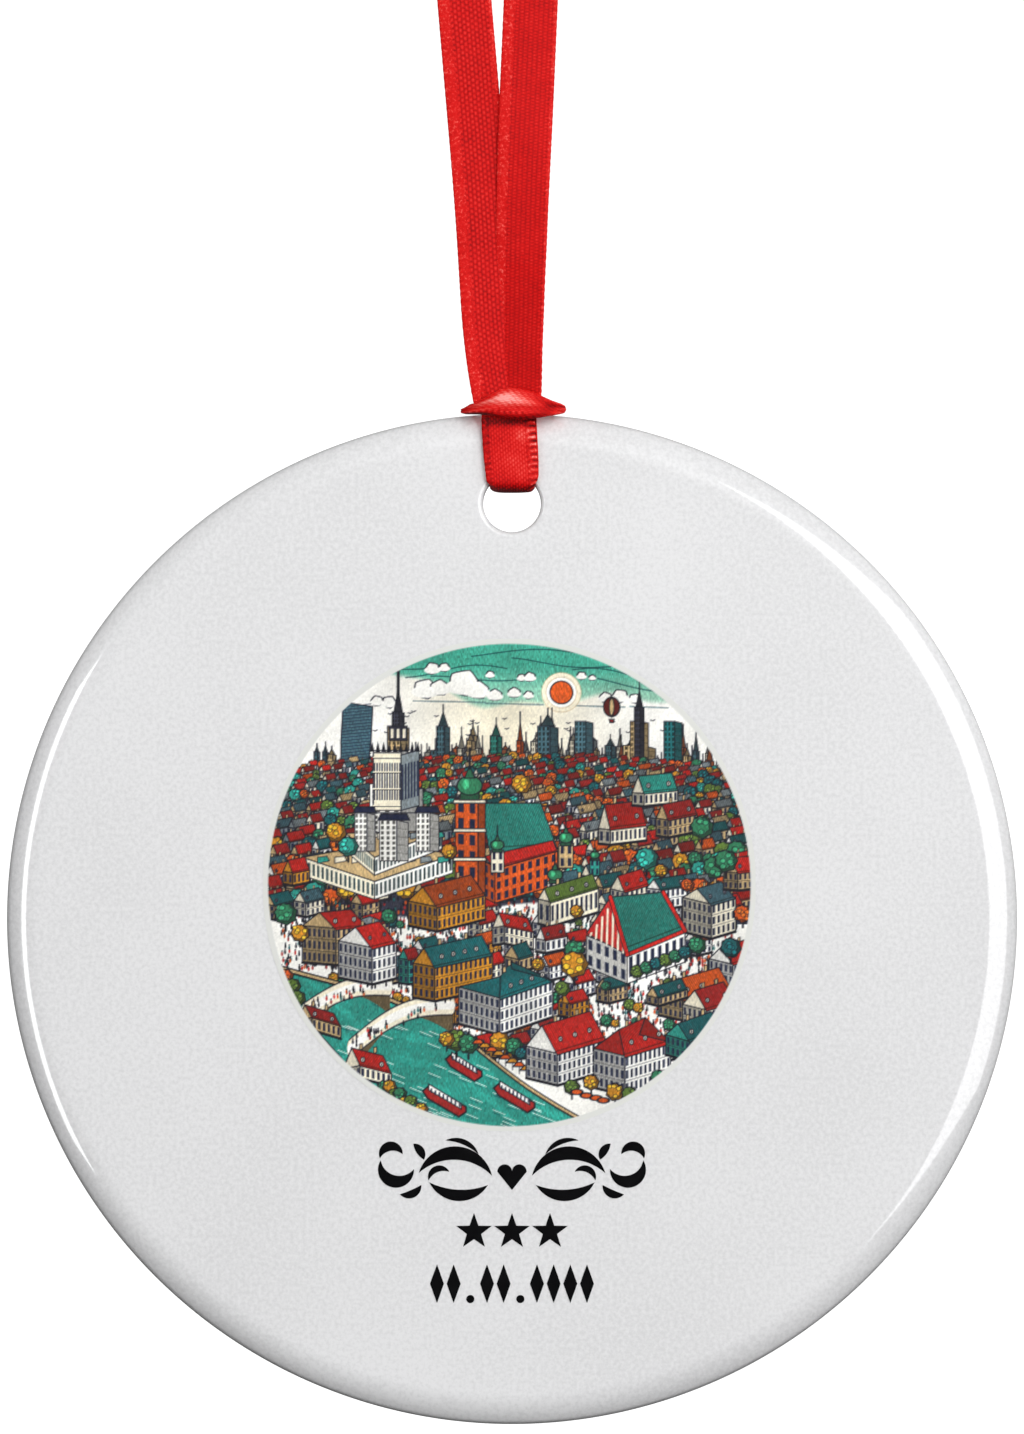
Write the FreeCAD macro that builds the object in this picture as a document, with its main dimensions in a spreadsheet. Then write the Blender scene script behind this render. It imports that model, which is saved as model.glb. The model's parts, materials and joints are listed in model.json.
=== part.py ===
import FreeCAD, Part
import math
import os
import Sketcher

# A round glazed ceramic ornament that hangs from a looped satin ribbon.
# Millimetres, +Z up, the printed face looks along -Y. The origin is at the inside top of the
# ribbon's loop, where a branch or hook bears, and everything else hangs below it.

Vector = FreeCAD.Vector
Rotation = FreeCAD.Rotation
Placement = FreeCAD.Placement

SIZES = {
    # disc
    "disc_diameter": 76.0,
    "disc_thickness": 3.0,
    "shoulder_width": 2.4,       # the zone inside the rim where the face curves away
    "shoulder_radius": 3.2,      # of the arc that leaves the flat face
    "hole_diameter": 5.0,
    "hole_to_rim": 6.75,         # hole centre to the rim's top
    "hole_edge_round": 0.35,
    # ribbon and its loop
    "ribbon_width": 4.1,
    "ribbon_thickness": 0.2,
    "loop_height": 66.0,         # rim's top to the inside top of the loop
    "branch_radius": 4.0,        # the inside radius of the crown
    # hitch round the strip of ceramic above the hole
    "wrap_face_gap": 0.15,
    "wrap_hole_gap": 0.1,
    "wrap_bend": 0.45,           # inside radius of the folds at the hole
    "band_width": 7.8,
    "band_height": 1.35,
    "band_wall": 0.35,
    "band_corner": 1.2,
    "band_rim_gap": 0.5,
    "band_leg_gap": 0.15,
    "wrap_stop": 0.15,           # the wrap's front ends this far below the band's top
    "band_shift": 0.1,           # the band sits this far to +X
    # knot and tails above the crown
    "knot_width": 6.0,
    "knot_height": 5.2,
    "knot_depth": 4.6,
    "tail_length": 9.0,
    "tail_spread": 13.0,         # degrees from upright
    "tail_offset": 0.3,          # of each tail's root from the knot's middle
    "tail_slant": 1.6,           # how much longer one edge of a cut end is
    # prints
    "print_thickness": 0.04,
    "picture_diameter": 36.1,
    "picture_rise": 2.6,         # above the disc's centre
    "picture_shift": -0.2,
    "flourish_drop": 18.9,       # below the disc's centre
    "flourish_length": 20.0,
    "star_drop": 23.4,
    "star_size": 2.8,
    "star_pitch": 2.85,
    "dot_drop": 27.3,            # of the row of lozenges and dots
    "dot_size": 0.6,
    "dot_pitch": 1.25,
    "lozenge_width": 1.04,
    "lozenge_height": 2.9,
}

# Ribbon routes, as points (x, y, z) chosen by hand, from the top down.
UPPER_LEFT = [(-4.1, 0.0, -4.0), (-4.25, -0.1, -13.5), (-4.1, -0.3, -23.5), (-3.75, -0.55, -33.0)]
UPPER_RIGHT = [(4.1, 0.0, -4.0), (3.5, -0.3, -13.5), (2.55, -0.65, -23.5), (1.5, -0.9, -33.0)]
LOWER_LEFT = [(-3.72, -0.56, -33.3), (-1.8, -1.25, -56.0), (-0.85, -1.65, -63.2)]
LOWER_RIGHT = [(1.48, -0.91, -33.3), (0.5, -1.7, -56.0), (0.22, -1.97, -63.2)]
ROUTE_SHARE = 0.45               # of the shorter run that an arc may take
STATION_STEP = 2.0               # between the sections of a ribbon stretch
STAR_COUNT = 3
STAR_WAIST = 0.4                 # inner over outer radius of a five-pointed star
LAST_ROW = "||.||.||||"          # a lozenge for each bar and a low dot for each stop

doc = FreeCAD.newDocument("Ornament")
sheet = doc.addObject("Spreadsheet::Sheet", "Sizes")
for line, (name, value) in enumerate(SIZES.items(), start=1):
    sheet.set(f"A{line}", name)
    sheet.set(f"B{line}", str(value))
    sheet.setAlias(f"B{line}", name)
doc.recompute()


def size(name):
    return float(sheet.get(name))


# Heights and depths that several pieces share, below or beside the origin.
disc_radius = size("disc_diameter") / 2
face_y = size("disc_thickness") / 2
rim_top = -size("loop_height")
disc_centre = rim_top - disc_radius
hole_centre = rim_top - size("hole_to_rim")
hole_radius = size("hole_diameter") / 2
ply = size("ribbon_thickness")
half_ribbon = size("ribbon_width") / 2
band_bottom = rim_top + size("band_rim_gap")
band_top = band_bottom + size("band_height")
leg_inside = face_y + size("wrap_face_gap")


def origin_plane(body, role):
    for feature in body.Origin.OriginFeatures:
        if feature.Role == role:
            return feature
    raise RuntimeError(f"{body.Name} has no {role}")


def new_body(label):
    body = doc.addObject("PartDesign::Body", label)
    body.Label = label
    doc.recompute()
    return body


def new_sketch(body, name, role):
    sketch = body.newObject("Sketcher::SketchObject", name)
    sketch.AttachmentSupport = [(origin_plane(body, role), "")]
    sketch.MapMode = "FlatFace"
    doc.recompute()
    return sketch


def bind(sketch, constraint, name, expression):
    """Adds a dimension to a sketch under a name, and ties it to the sheet."""
    index = sketch.addConstraint(constraint)
    sketch.renameConstraint(index, name)
    sketch.setExpression(f"Constraints.{name}", expression)


def fixed_shape(label, shape):
    feature = doc.addObject("Part::Feature", label)
    feature.Label = label
    feature.Shape = shape
    return feature


# Disc

def disc_outline(body):
    """Half of the disc's section: x is the radius and y the disc's depth. Each shoulder is an
    arc that leaves the flat face, and a smaller arc joins the two round the rim."""
    sketch = new_sketch(body, "DiscOutline", "XY_Plane")
    deep = face_y
    flat = disc_radius - size("shoulder_width")
    big = size("shoulder_radius")
    across = size("shoulder_width")
    small = (2 * big * deep - across**2 - deep**2) / (2 * (big - across))
    meet = math.atan2(big - deep, across - small)
    front = Part.Circle(Vector(flat, big - deep, 0), Vector(0, 0, 1), big)
    rim = Part.Circle(Vector(disc_radius - small, 0, 0), Vector(0, 0, 1), small)
    back = Part.Circle(Vector(flat, deep - big, 0), Vector(0, 0, 1), big)
    sketch.addGeometry(Part.LineSegment(Vector(0, -deep, 0), Vector(flat, -deep, 0)))
    sketch.addGeometry(Part.ArcOfCircle(front, -math.pi / 2, -meet))
    sketch.addGeometry(Part.ArcOfCircle(rim, -meet, meet))
    sketch.addGeometry(Part.ArcOfCircle(back, meet, math.pi / 2))
    sketch.addGeometry(Part.LineSegment(Vector(flat, deep, 0), Vector(0, deep, 0)))
    sketch.addGeometry(Part.LineSegment(Vector(0, deep, 0), Vector(0, -deep, 0)))
    for first, second in ((0, 1), (1, 2), (2, 3), (3, 4)):
        sketch.addConstraint(Sketcher.Constraint("Tangent", first, 2, second, 1))
    sketch.addConstraint(Sketcher.Constraint("Coincident", 4, 2, 5, 1))
    sketch.addConstraint(Sketcher.Constraint("Coincident", 5, 2, 0, 1))
    sketch.addConstraint(Sketcher.Constraint("PointOnObject", 0, 1, -2))
    sketch.addConstraint(Sketcher.Constraint("Horizontal", 0))
    sketch.addConstraint(Sketcher.Constraint("Equal", 1, 3))
    sketch.addConstraint(Sketcher.Constraint("PointOnObject", 2, 3, -1))
    sketch.addConstraint(Sketcher.Constraint("Symmetric", 0, 1, 4, 2, -1))
    bind(sketch, Sketcher.Constraint("DistanceY", 5, 2, 5, 1, 2 * deep), "thickness",
         "Sizes.disc_thickness")
    bind(sketch, Sketcher.Constraint("DistanceX", 0, 1, 0, 2, flat), "flat",
         "Sizes.disc_diameter / 2 - Sizes.shoulder_width")
    bind(sketch, Sketcher.Constraint("Radius", 1, big), "shoulder", "Sizes.shoulder_radius")
    bind(sketch, Sketcher.Constraint("Radius", 2, small), "rim",
         "(2 * Sizes.shoulder_radius * Sizes.disc_thickness / 2 - Sizes.shoulder_width ^ 2"
         " - (Sizes.disc_thickness / 2) ^ 2) / (2 * (Sizes.shoulder_radius - Sizes.shoulder_width))")
    doc.recompute()
    return sketch


def hole_edges(shape):
    """The names of the two circles where the hole meets the faces."""
    names = []
    for number, edge in enumerate(shape.Edges, start=1):
        circle = isinstance(edge.Curve, Part.Circle)
        if circle and abs(edge.Curve.Radius - hole_radius) < 1e-6:
            names.append(f"Edge{number}")
    return names


def ceramic_disc():
    body = new_body("ceramic_disc")
    outline = disc_outline(body)
    turned = body.newObject("PartDesign::Revolution", "DiscTurned")
    turned.Profile = outline
    turned.ReferenceAxis = (outline, ["V_Axis"])
    turned.Angle = 360
    doc.recompute()
    whole = turned.Shape.Volume

    circle = new_sketch(body, "HoleCircle", "XZ_Plane")
    up = hole_centre - disc_centre
    circle.addGeometry(Part.Circle(Vector(0, up, 0), Vector(0, 0, 1), hole_radius))
    circle.addConstraint(Sketcher.Constraint("PointOnObject", 0, 3, -2))
    bind(circle, Sketcher.Constraint("DistanceY", -1, 1, 0, 3, up), "up",
         "Sizes.disc_diameter / 2 - Sizes.hole_to_rim")
    bind(circle, Sketcher.Constraint("Diameter", 0, 2 * hole_radius), "bore",
         "Sizes.hole_diameter")
    doc.recompute()
    hole = body.newObject("PartDesign::Pocket", "Hole")
    hole.Profile = circle
    hole.Type = "ThroughAll"
    hole.Midplane = True
    doc.recompute()
    removed = whole - hole.Shape.Volume
    expected = math.pi * hole_radius**2 * size("disc_thickness")
    if abs(removed - expected) > 0.01 * expected:
        raise RuntimeError(f"the hole took {removed:.2f} mm3, not {expected:.2f}")

    softened = body.newObject("PartDesign::Fillet", "HoleEdge")
    softened.Base = (hole, hole_edges(hole.Shape))
    softened.setExpression("Radius", "Sizes.hole_edge_round")
    doc.recompute()
    body.Placement = Placement(Vector(0, 0, disc_centre), Rotation())
    return body


# Prints, each a thin layer that lies on the front face

def picture_print():
    layer = doc.addObject("Part::Cylinder", "picture_print")
    layer.Label = "picture_print"
    layer.setExpression("Radius", "Sizes.picture_diameter / 2")
    layer.setExpression("Height", "Sizes.print_thickness")
    high = disc_centre + size("picture_rise")
    layer.Placement = Placement(Vector(size("picture_shift"), -face_y, high),
                                Rotation(Vector(1, 0, 0), 90))
    return layer


def inked(wires, high):
    """Closed outlines in the XZ plane, printed on the front face at a height."""
    forward = Vector(0, -size("print_thickness"), 0)
    prints = [Part.Face(wire).extrude(forward) for wire in wires]
    shape = Part.makeCompound(prints)
    shape.translate(Vector(0, -face_y, high))
    return shape


def stroke(start, outer, inner, end, mirrored):
    """A brush stroke: two arcs from start to end, one through outer and one through inner."""
    side = -1 if mirrored else 1
    first, bulge, hollow, last = [Vector(side * x, 0, z) for x, z in (start, outer, inner, end)]
    arcs = [Part.Arc(first, bulge, last).toShape(), Part.Arc(last, hollow, first).toShape()]
    return Part.Wire(arcs)


def heart(reach):
    """Two half circles over a point."""
    lobe = reach / 2
    left = Part.Arc(Vector(-reach, 0, 0), Vector(-lobe, 0, lobe), Vector(0, 0, 0)).toShape()
    right = Part.Arc(Vector(0, 0, 0), Vector(lobe, 0, lobe), Vector(reach, 0, 0)).toShape()
    low = Vector(0, 0, -1.25 * reach)
    down = Part.LineSegment(Vector(reach, 0, 0), low).toShape()
    up = Part.LineSegment(low, Vector(-reach, 0, 0)).toShape()
    return Part.Wire([left, right, down, up])


def flourish_print():
    """A heart between scrolls. Each stroke's points are shares of half the length."""
    half = size("flourish_length") / 2
    strokes = [
        ((0.15, -0.03), (0.44, 0.19), (0.43, 0.09), (0.70, -0.01)),
        ((0.735, 0.02), (0.88, -0.12), (0.865, -0.03), (0.985, 0.085)),
        ((0.99, 0.1), (0.925, 0.225), (0.92, 0.155), (0.82, 0.13)),
        ((0.18, -0.10), (0.41, -0.22), (0.41, -0.135), (0.62, -0.08)),
        ((0.625, -0.065), (0.59, 0.035), (0.55, 0.0), (0.47, 0.0)),
        ((0.25, 0.13), (0.35, 0.24), (0.37, 0.205), (0.5, 0.235)),
        ((0.66, 0.09), (0.66, 0.17), (0.72, 0.15), (0.74, 0.21)),
        ((0.68, -0.1), (0.76, -0.2), (0.74, -0.13), (0.84, -0.17)),
    ]
    wires = [heart(0.11 * half)]
    for points in strokes:
        scaled = [(x * half, z * half) for x, z in points]
        wires.append(stroke(*scaled, mirrored=False))
        wires.append(stroke(*scaled, mirrored=True))
    return fixed_shape("flourish_print", inked(wires, disc_centre - size("flourish_drop")))


def star_wire(middle, radius):
    points = []
    for turn in range(10):
        reach = radius * (STAR_WAIST if turn % 2 else 1)
        angle = math.pi / 2 + turn * math.pi / 5
        points.append(Vector(middle + reach * math.cos(angle), 0, reach * math.sin(angle)))
    return Part.makePolygon(points + points[:1])


def row(count, pitch):
    return [(number - (count - 1) / 2) * pitch for number in range(count)]


def star_print():
    places = row(STAR_COUNT, size("star_pitch"))
    wires = [star_wire(place, size("star_size") / 2) for place in places]
    return fixed_shape("star_print", inked(wires, disc_centre - size("star_drop")))


def low_dot(middle):
    radius = size("dot_size") / 2
    low = radius - size("lozenge_height") / 2
    return Part.Wire(Part.Circle(Vector(middle, 0, low), Vector(0, 1, 0), radius).toShape())


def lozenge(middle):
    wide, high = size("lozenge_width") / 2, size("lozenge_height") / 2
    corners = [(wide, 0), (0, high), (-wide, 0), (0, -high), (wide, 0)]
    return Part.makePolygon([Vector(middle + x, 0, z) for x, z in corners])


def dot_print():
    """Lozenges and dots, in the order of the last row."""
    places = row(len(LAST_ROW), size("dot_pitch"))
    wires = [lozenge(place) if sign == "|" else low_dot(place) for sign, place in zip(LAST_ROW, places)]
    return fixed_shape("dot_print", inked(wires, disc_centre - size("dot_drop")))


# Hitch: the ribbon's two plies go down the front, through the hole and up the back, and the
# ribbon's middle, drawn forward over the rim, holds them as a band.

def wrap_line(inside, bottom, bend, front_top, back_top):
    """Edges down the front at y = -inside, across at z = bottom and up the back."""
    diagonal = bend * (1 - math.sqrt(0.5))
    corners = [
        (-inside, front_top), (-inside, bottom + bend),
        (-inside + diagonal, bottom + diagonal), (-inside + bend, bottom),
        (inside - bend, bottom), (inside - diagonal, bottom + diagonal),
        (inside, bottom + bend), (inside, back_top),
    ]
    at = [Vector(0, y, z) for y, z in corners]
    return [
        Part.LineSegment(at[0], at[1]).toShape(),
        Part.Arc(at[1], at[2], at[3]).toShape(),
        Part.LineSegment(at[3], at[4]).toShape(),
        Part.Arc(at[4], at[5], at[6]).toShape(),
        Part.LineSegment(at[6], at[7]).toShape(),
    ], at[0], at[7]


def wrap(label, layer):
    """One ply of the hitch. Layer 0 lies against the ceramic and layer 1 over it. Flat ribbon
    bridges the round hole as a chord, so its width sets how far up the hole it bears."""
    bears_at = math.sqrt(hole_radius**2 - half_ribbon**2)
    inside = leg_inside + layer * ply
    bottom = hole_centre + bears_at - size("wrap_hole_gap") - layer * ply
    bend = size("wrap_bend") + layer * ply
    front_top = band_top - size("wrap_stop")
    near, near_front, near_back = wrap_line(inside, bottom, bend, front_top, band_bottom)
    far, far_front, far_back = wrap_line(inside + ply, bottom - ply, bend + ply, front_top,
                                         band_bottom)
    ends = [Part.LineSegment(near_front, far_front).toShape(),
            Part.LineSegment(near_back, far_back).toShape()]
    outline = Part.Wire(Part.__sortEdges__(near + far + ends))
    shape = Part.Face(outline).extrude(Vector(2 * half_ribbon, 0, 0))
    shape.translate(Vector(-half_ribbon, 0, 0))
    return fixed_shape(label, shape)


def rounded_frame(sketch, first, half_x, half_y, corner, tags, expressions):
    """A rectangle with round corners, centred on the sketch's origin, as eight edges from
    index first on: the right side, its upper corner and so on, anticlockwise."""
    straight_x = half_x - corner
    straight_y = half_y - corner
    quarter = math.pi / 2
    for turn in range(4):
        turned = Rotation(Vector(0, 0, 1), 90 * turn)
        here, there = (half_x, straight_y) if turn % 2 == 0 else (half_y, straight_x)
        start = turned.multVec(Vector(here, -there, 0))
        end = turned.multVec(Vector(here, there, 0))
        centre = turned.multVec(Vector(here - corner, there, 0))
        sketch.addGeometry(Part.LineSegment(start, end))
        circle = Part.Circle(centre, Vector(0, 0, 1), corner)
        sketch.addGeometry(Part.ArcOfCircle(circle, turn * quarter, (turn + 1) * quarter))
    for step in range(8):
        pair = (first + step, 2, first + (step + 1) % 8, 1)
        sketch.addConstraint(Sketcher.Constraint("Tangent", *pair))
    sketch.addConstraint(Sketcher.Constraint("Vertical", first))
    for step in (3, 5, 7):
        sketch.addConstraint(Sketcher.Constraint("Equal", first + 1, first + step))
    sketch.addConstraint(Sketcher.Constraint("Symmetric", first, 1, first + 4, 1, -1, 1))
    bind(sketch, Sketcher.Constraint("DistanceX", -1, 1, first, 1, half_x), tags[0],
         expressions[0])
    bind(sketch, Sketcher.Constraint("DistanceY", -1, 1, first + 2, 1, half_y), tags[1],
         expressions[1])
    bind(sketch, Sketcher.Constraint("Radius", first + 1, corner), tags[2], expressions[2])


def hitch_band():
    """An upright ring round both plies, over the rim. Its back wall stands on the wrap."""
    body = new_body("hitch_band")
    sketch = new_sketch(body, "BandRing", "XY_Plane")
    wall = size("band_wall")
    front = leg_inside + 2 * ply + size("band_leg_gap") + wall
    back = leg_inside + 2 * ply
    half_x = size("band_width") / 2
    half_y = (front + back) / 2
    corner = size("band_corner")
    depth = ("(Sizes.disc_thickness + 2 * Sizes.wrap_face_gap + 4 * Sizes.ribbon_thickness"
             " + Sizes.band_leg_gap + Sizes.band_wall) / 2")
    rounded_frame(sketch, 0, half_x, half_y, corner, ("outX", "outY", "outR"),
                  ("Sizes.band_width / 2", depth, "Sizes.band_corner"))
    rounded_frame(sketch, 8, half_x - wall, half_y - wall, corner - wall, ("inX", "inY", "inR"),
                  ("Sizes.band_width / 2 - Sizes.band_wall", f"{depth} - Sizes.band_wall",
                   "Sizes.band_corner - Sizes.band_wall"))
    doc.recompute()
    ring = body.newObject("PartDesign::Pad", "BandPad")
    ring.Profile = sketch
    ring.setExpression("Length", "Sizes.band_height")
    doc.recompute()
    middle = (back - front) / 2
    body.Placement = Placement(Vector(size("band_shift"), middle, band_bottom), Rotation())
    return body


# Ribbon stretches

def rounded_route(label, route):
    """A wire of straight runs joined by tangent arcs, each as large as its two runs allow."""
    points = [Vector(*point) for point in route]
    edges = []
    radii = []
    last = points[0]
    for before, corner, after in zip(points, points[1:], points[2:]):
        back = before - corner
        ahead = after - corner
        turn = math.pi - back.getAngle(ahead)
        reach = ROUTE_SHARE * min(back.Length, ahead.Length)
        radius = reach / math.tan(turn / 2)
        enter = corner + back.normalize() * reach
        leave = corner + ahead.normalize() * reach
        inward = (back + ahead).normalize()
        middle = corner + inward * (radius / math.cos(turn / 2) - radius)
        edges.append(Part.LineSegment(last, enter).toShape())
        edges.append(Part.Arc(enter, middle, leave).toShape())
        radii.append(radius)
        last = leave
    edges.append(Part.LineSegment(last, points[-1]).toShape())
    wire = Part.Wire(edges)
    print(label, "length", round(wire.Length, 2), "radii", [round(radius) for radius in radii])
    return wire


def section(point, degrees):
    """The ribbon's level cross-section at a point, its width turned from +X about Z."""
    across = Rotation(Vector(0, 0, 1), degrees).multVec(Vector(half_ribbon, 0, 0))
    through = Rotation(Vector(0, 0, 1), degrees).multVec(Vector(0, ply / 2, 0))
    corners = [point + across + through, point - across + through,
               point - across - through, point + across - through]
    return Part.makePolygon(corners + corners[:1])


def stretch(label, route, top_degrees):
    """A stretch of ribbon down a route. Its width lies along X at the bottom, and is turned
    by top_degrees at the top."""
    wire = rounded_route(label, route)
    count = max(2, round(wire.Length / STATION_STEP) + 1)
    stations = wire.discretize(Number=count)
    sections = []
    for number, point in enumerate(stations):
        left = 1 - number / (count - 1)
        eased = left * left * (3 - 2 * left)
        sections.append(section(point, top_degrees * eased))
    shape = Part.makeLoft(sections, True, True)
    expected = size("ribbon_width") * ply * wire.Length
    print(label, "volume", round(shape.Volume, 3), "of", round(expected, 3))
    return fixed_shape(label, shape)


def loop_crown():
    """Half a ring over the branch, its width along Y."""
    rings = []
    for name, expression in (("CrownOuter", "Sizes.branch_radius + Sizes.ribbon_thickness"),
                             ("CrownInner", "Sizes.branch_radius")):
        drum = doc.addObject("Part::Cylinder", name)
        drum.setExpression("Radius", expression)
        drum.setExpression("Height", "Sizes.ribbon_width")
        drum.Angle = 180
        rings.append(drum)
    crown = doc.addObject("Part::Cut", "loop_crown")
    crown.Label = "loop_crown"
    crown.Base = rings[0]
    crown.Tool = rings[1]
    doc.recompute()
    crown.Placement = Placement(Vector(0, half_ribbon, -size("branch_radius")),
                                Rotation(Vector(1, 0, 0), 90))
    return crown


def end_knot():
    """A lump that sits on the crown, with its underside cut to the crown's outside."""
    lump = doc.addObject("Part::Ellipsoid", "KnotLump")
    lump.setExpression("Radius1", "Sizes.knot_height / 2")
    lump.setExpression("Radius2", "Sizes.knot_width / 2")
    lump.setExpression("Radius3", "Sizes.knot_depth / 2")
    lump.Placement = Placement(Vector(0, 0, 0.45 * size("knot_height")), Rotation())
    drum = doc.addObject("Part::Cylinder", "KnotSeat")
    drum.setExpression("Radius", "Sizes.branch_radius + Sizes.ribbon_thickness")
    drum.setExpression("Height", "2 * Sizes.knot_depth")
    drum.Placement = Placement(Vector(0, size("knot_depth"), -size("branch_radius")),
                               Rotation(Vector(1, 0, 0), 90))
    knot = doc.addObject("Part::Cut", "end_knot")
    knot.Label = "end_knot"
    knot.Base = lump
    knot.Tool = drum
    doc.recompute()
    return knot


def tail(label, side, knot):
    """A free end of ribbon that leans to one side out of the knot's top, cut on a slant. Its
    foot is cut to the knot's outside."""
    half = half_ribbon
    slant = size("tail_slant") / 2
    root = size("knot_height") / 2
    length = size("knot_height") / 2 + size("tail_length")
    outline = Part.makePolygon([Vector(-half, 0, 0), Vector(half, 0, 0),
                                Vector(half, 0, length + side * slant),
                                Vector(-half, 0, length - side * slant), Vector(-half, 0, 0)])
    shape = Part.Face(outline).extrude(Vector(0, ply, 0))
    lean = Rotation(Vector(0, 1, 0), side * size("tail_spread"))
    depth = 0.5 * ply if side > 0 else -1.5 * ply
    shape.Placement = Placement(Vector(side * size("tail_offset"), depth, root), lean)
    return fixed_shape(label, shape.cut(knot.Shape))


knot_node = end_knot()
nodes = [
    ceramic_disc(),
    picture_print(),
    flourish_print(),
    star_print(),
    dot_print(),
    wrap("inner_wrap", 0),
    wrap("outer_wrap", 1),
    hitch_band(),
    stretch("left_strand", LOWER_LEFT, 0),
    stretch("right_strand", LOWER_RIGHT, 0),
    stretch("upper_left_strand", UPPER_LEFT, 90),
    stretch("upper_right_strand", UPPER_RIGHT, -90),
    loop_crown(),
    knot_node,
    tail("left_tail", -1, knot_node),
    tail("right_tail", 1, knot_node),
]
doc.recompute()

for item in doc.Objects:
    if "Invalid" in item.State or "Error" in item.State:
        raise RuntimeError(f"{item.Name} failed: {item.State}")
for node in nodes:
    if node.Shape.isNull() or not node.Shape.isValid():
        raise RuntimeError(f"{node.Label} has no valid shape")

os.makedirs("parts", exist_ok=True)
for node in nodes:
    node.Shape.exportStep(os.path.join("parts", f"{node.Label}.step"))
    print(node.Label, "solids", len(node.Shape.Solids), "volume", round(node.Shape.Volume, 3))
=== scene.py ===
import json
import math
import bpy
import numpy as np
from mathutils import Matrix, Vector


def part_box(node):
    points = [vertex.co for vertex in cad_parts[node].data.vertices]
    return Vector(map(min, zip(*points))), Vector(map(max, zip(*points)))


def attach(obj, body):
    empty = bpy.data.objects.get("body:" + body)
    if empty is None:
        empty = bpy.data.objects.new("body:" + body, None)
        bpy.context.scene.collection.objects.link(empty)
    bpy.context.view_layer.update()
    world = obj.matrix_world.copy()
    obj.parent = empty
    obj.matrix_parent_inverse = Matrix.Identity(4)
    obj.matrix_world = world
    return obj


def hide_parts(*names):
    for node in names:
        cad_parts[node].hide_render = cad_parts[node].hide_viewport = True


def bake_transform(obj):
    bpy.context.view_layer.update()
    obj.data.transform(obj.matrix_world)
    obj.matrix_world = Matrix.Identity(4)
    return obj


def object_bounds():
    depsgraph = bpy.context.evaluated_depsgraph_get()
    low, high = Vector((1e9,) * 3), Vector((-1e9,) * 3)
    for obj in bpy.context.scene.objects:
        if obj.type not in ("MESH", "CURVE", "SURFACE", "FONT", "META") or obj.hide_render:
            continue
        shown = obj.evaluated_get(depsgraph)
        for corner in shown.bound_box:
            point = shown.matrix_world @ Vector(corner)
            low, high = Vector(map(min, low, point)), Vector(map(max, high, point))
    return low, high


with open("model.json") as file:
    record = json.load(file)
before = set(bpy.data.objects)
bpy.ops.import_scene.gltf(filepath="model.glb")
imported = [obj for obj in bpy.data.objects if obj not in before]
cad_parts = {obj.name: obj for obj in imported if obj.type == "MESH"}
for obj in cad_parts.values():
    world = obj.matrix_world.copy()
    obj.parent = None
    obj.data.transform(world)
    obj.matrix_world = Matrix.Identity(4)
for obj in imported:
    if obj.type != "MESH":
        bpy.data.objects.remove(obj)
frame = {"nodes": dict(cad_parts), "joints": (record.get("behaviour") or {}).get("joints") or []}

cadLow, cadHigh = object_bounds()
mm = 0.001
print("frame loaded, box", [round(x, 4) for x in cadLow], [round(x, 4) for x in cadHigh])

# Places that come from the frame
discLow, discHigh = (np.array(corner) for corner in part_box("ceramic_disc"))
discMiddle = (discLow + discHigh) / 2
discRadius = (discHigh[0] - discLow[0]) / 2
faceY = discLow[1]
pictureLow, pictureHigh = (np.array(corner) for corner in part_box("picture_print"))
pictureMiddle = (pictureLow + pictureHigh) / 2
pictureRadius = (pictureHigh[0] - pictureLow[0]) / 2
hinge = {joint["name"]: np.array(joint["pos_m"]) for joint in frame["joints"]}
holeMiddle = hinge["rock"]
bandLow, bandHigh = (np.array(corner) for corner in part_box("hitch_band"))


# Shader maths: a wrapped socket, so that a sum on values adds its Math nodes

def join(tree, socket, value):
    if isinstance(value, Wire):
        tree.links.new(value.socket, socket)
    else:
        socket.default_value = value


class Wire:
    def __init__(self, tree, socket):
        self.tree = tree
        self.socket = socket

    def maths(self, operation, *values):
        node = self.tree.nodes.new("ShaderNodeMath")
        node.operation = operation
        for place, value in enumerate(values):
            join(self.tree, node.inputs[place], value)
        return Wire(self.tree, node.outputs[0])

    def only(self, operation):
        return self.maths(operation, self)

    def __add__(self, other):
        return self.maths("ADD", self, other)

    def __sub__(self, other):
        return self.maths("SUBTRACT", self, other)

    def __rsub__(self, other):
        return self.maths("SUBTRACT", other, self)

    def __mul__(self, other):
        return self.maths("MULTIPLY", self, other)

    def __truediv__(self, other):
        return self.maths("DIVIDE", self, other)

    __radd__ = __add__
    __rmul__ = __mul__


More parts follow.
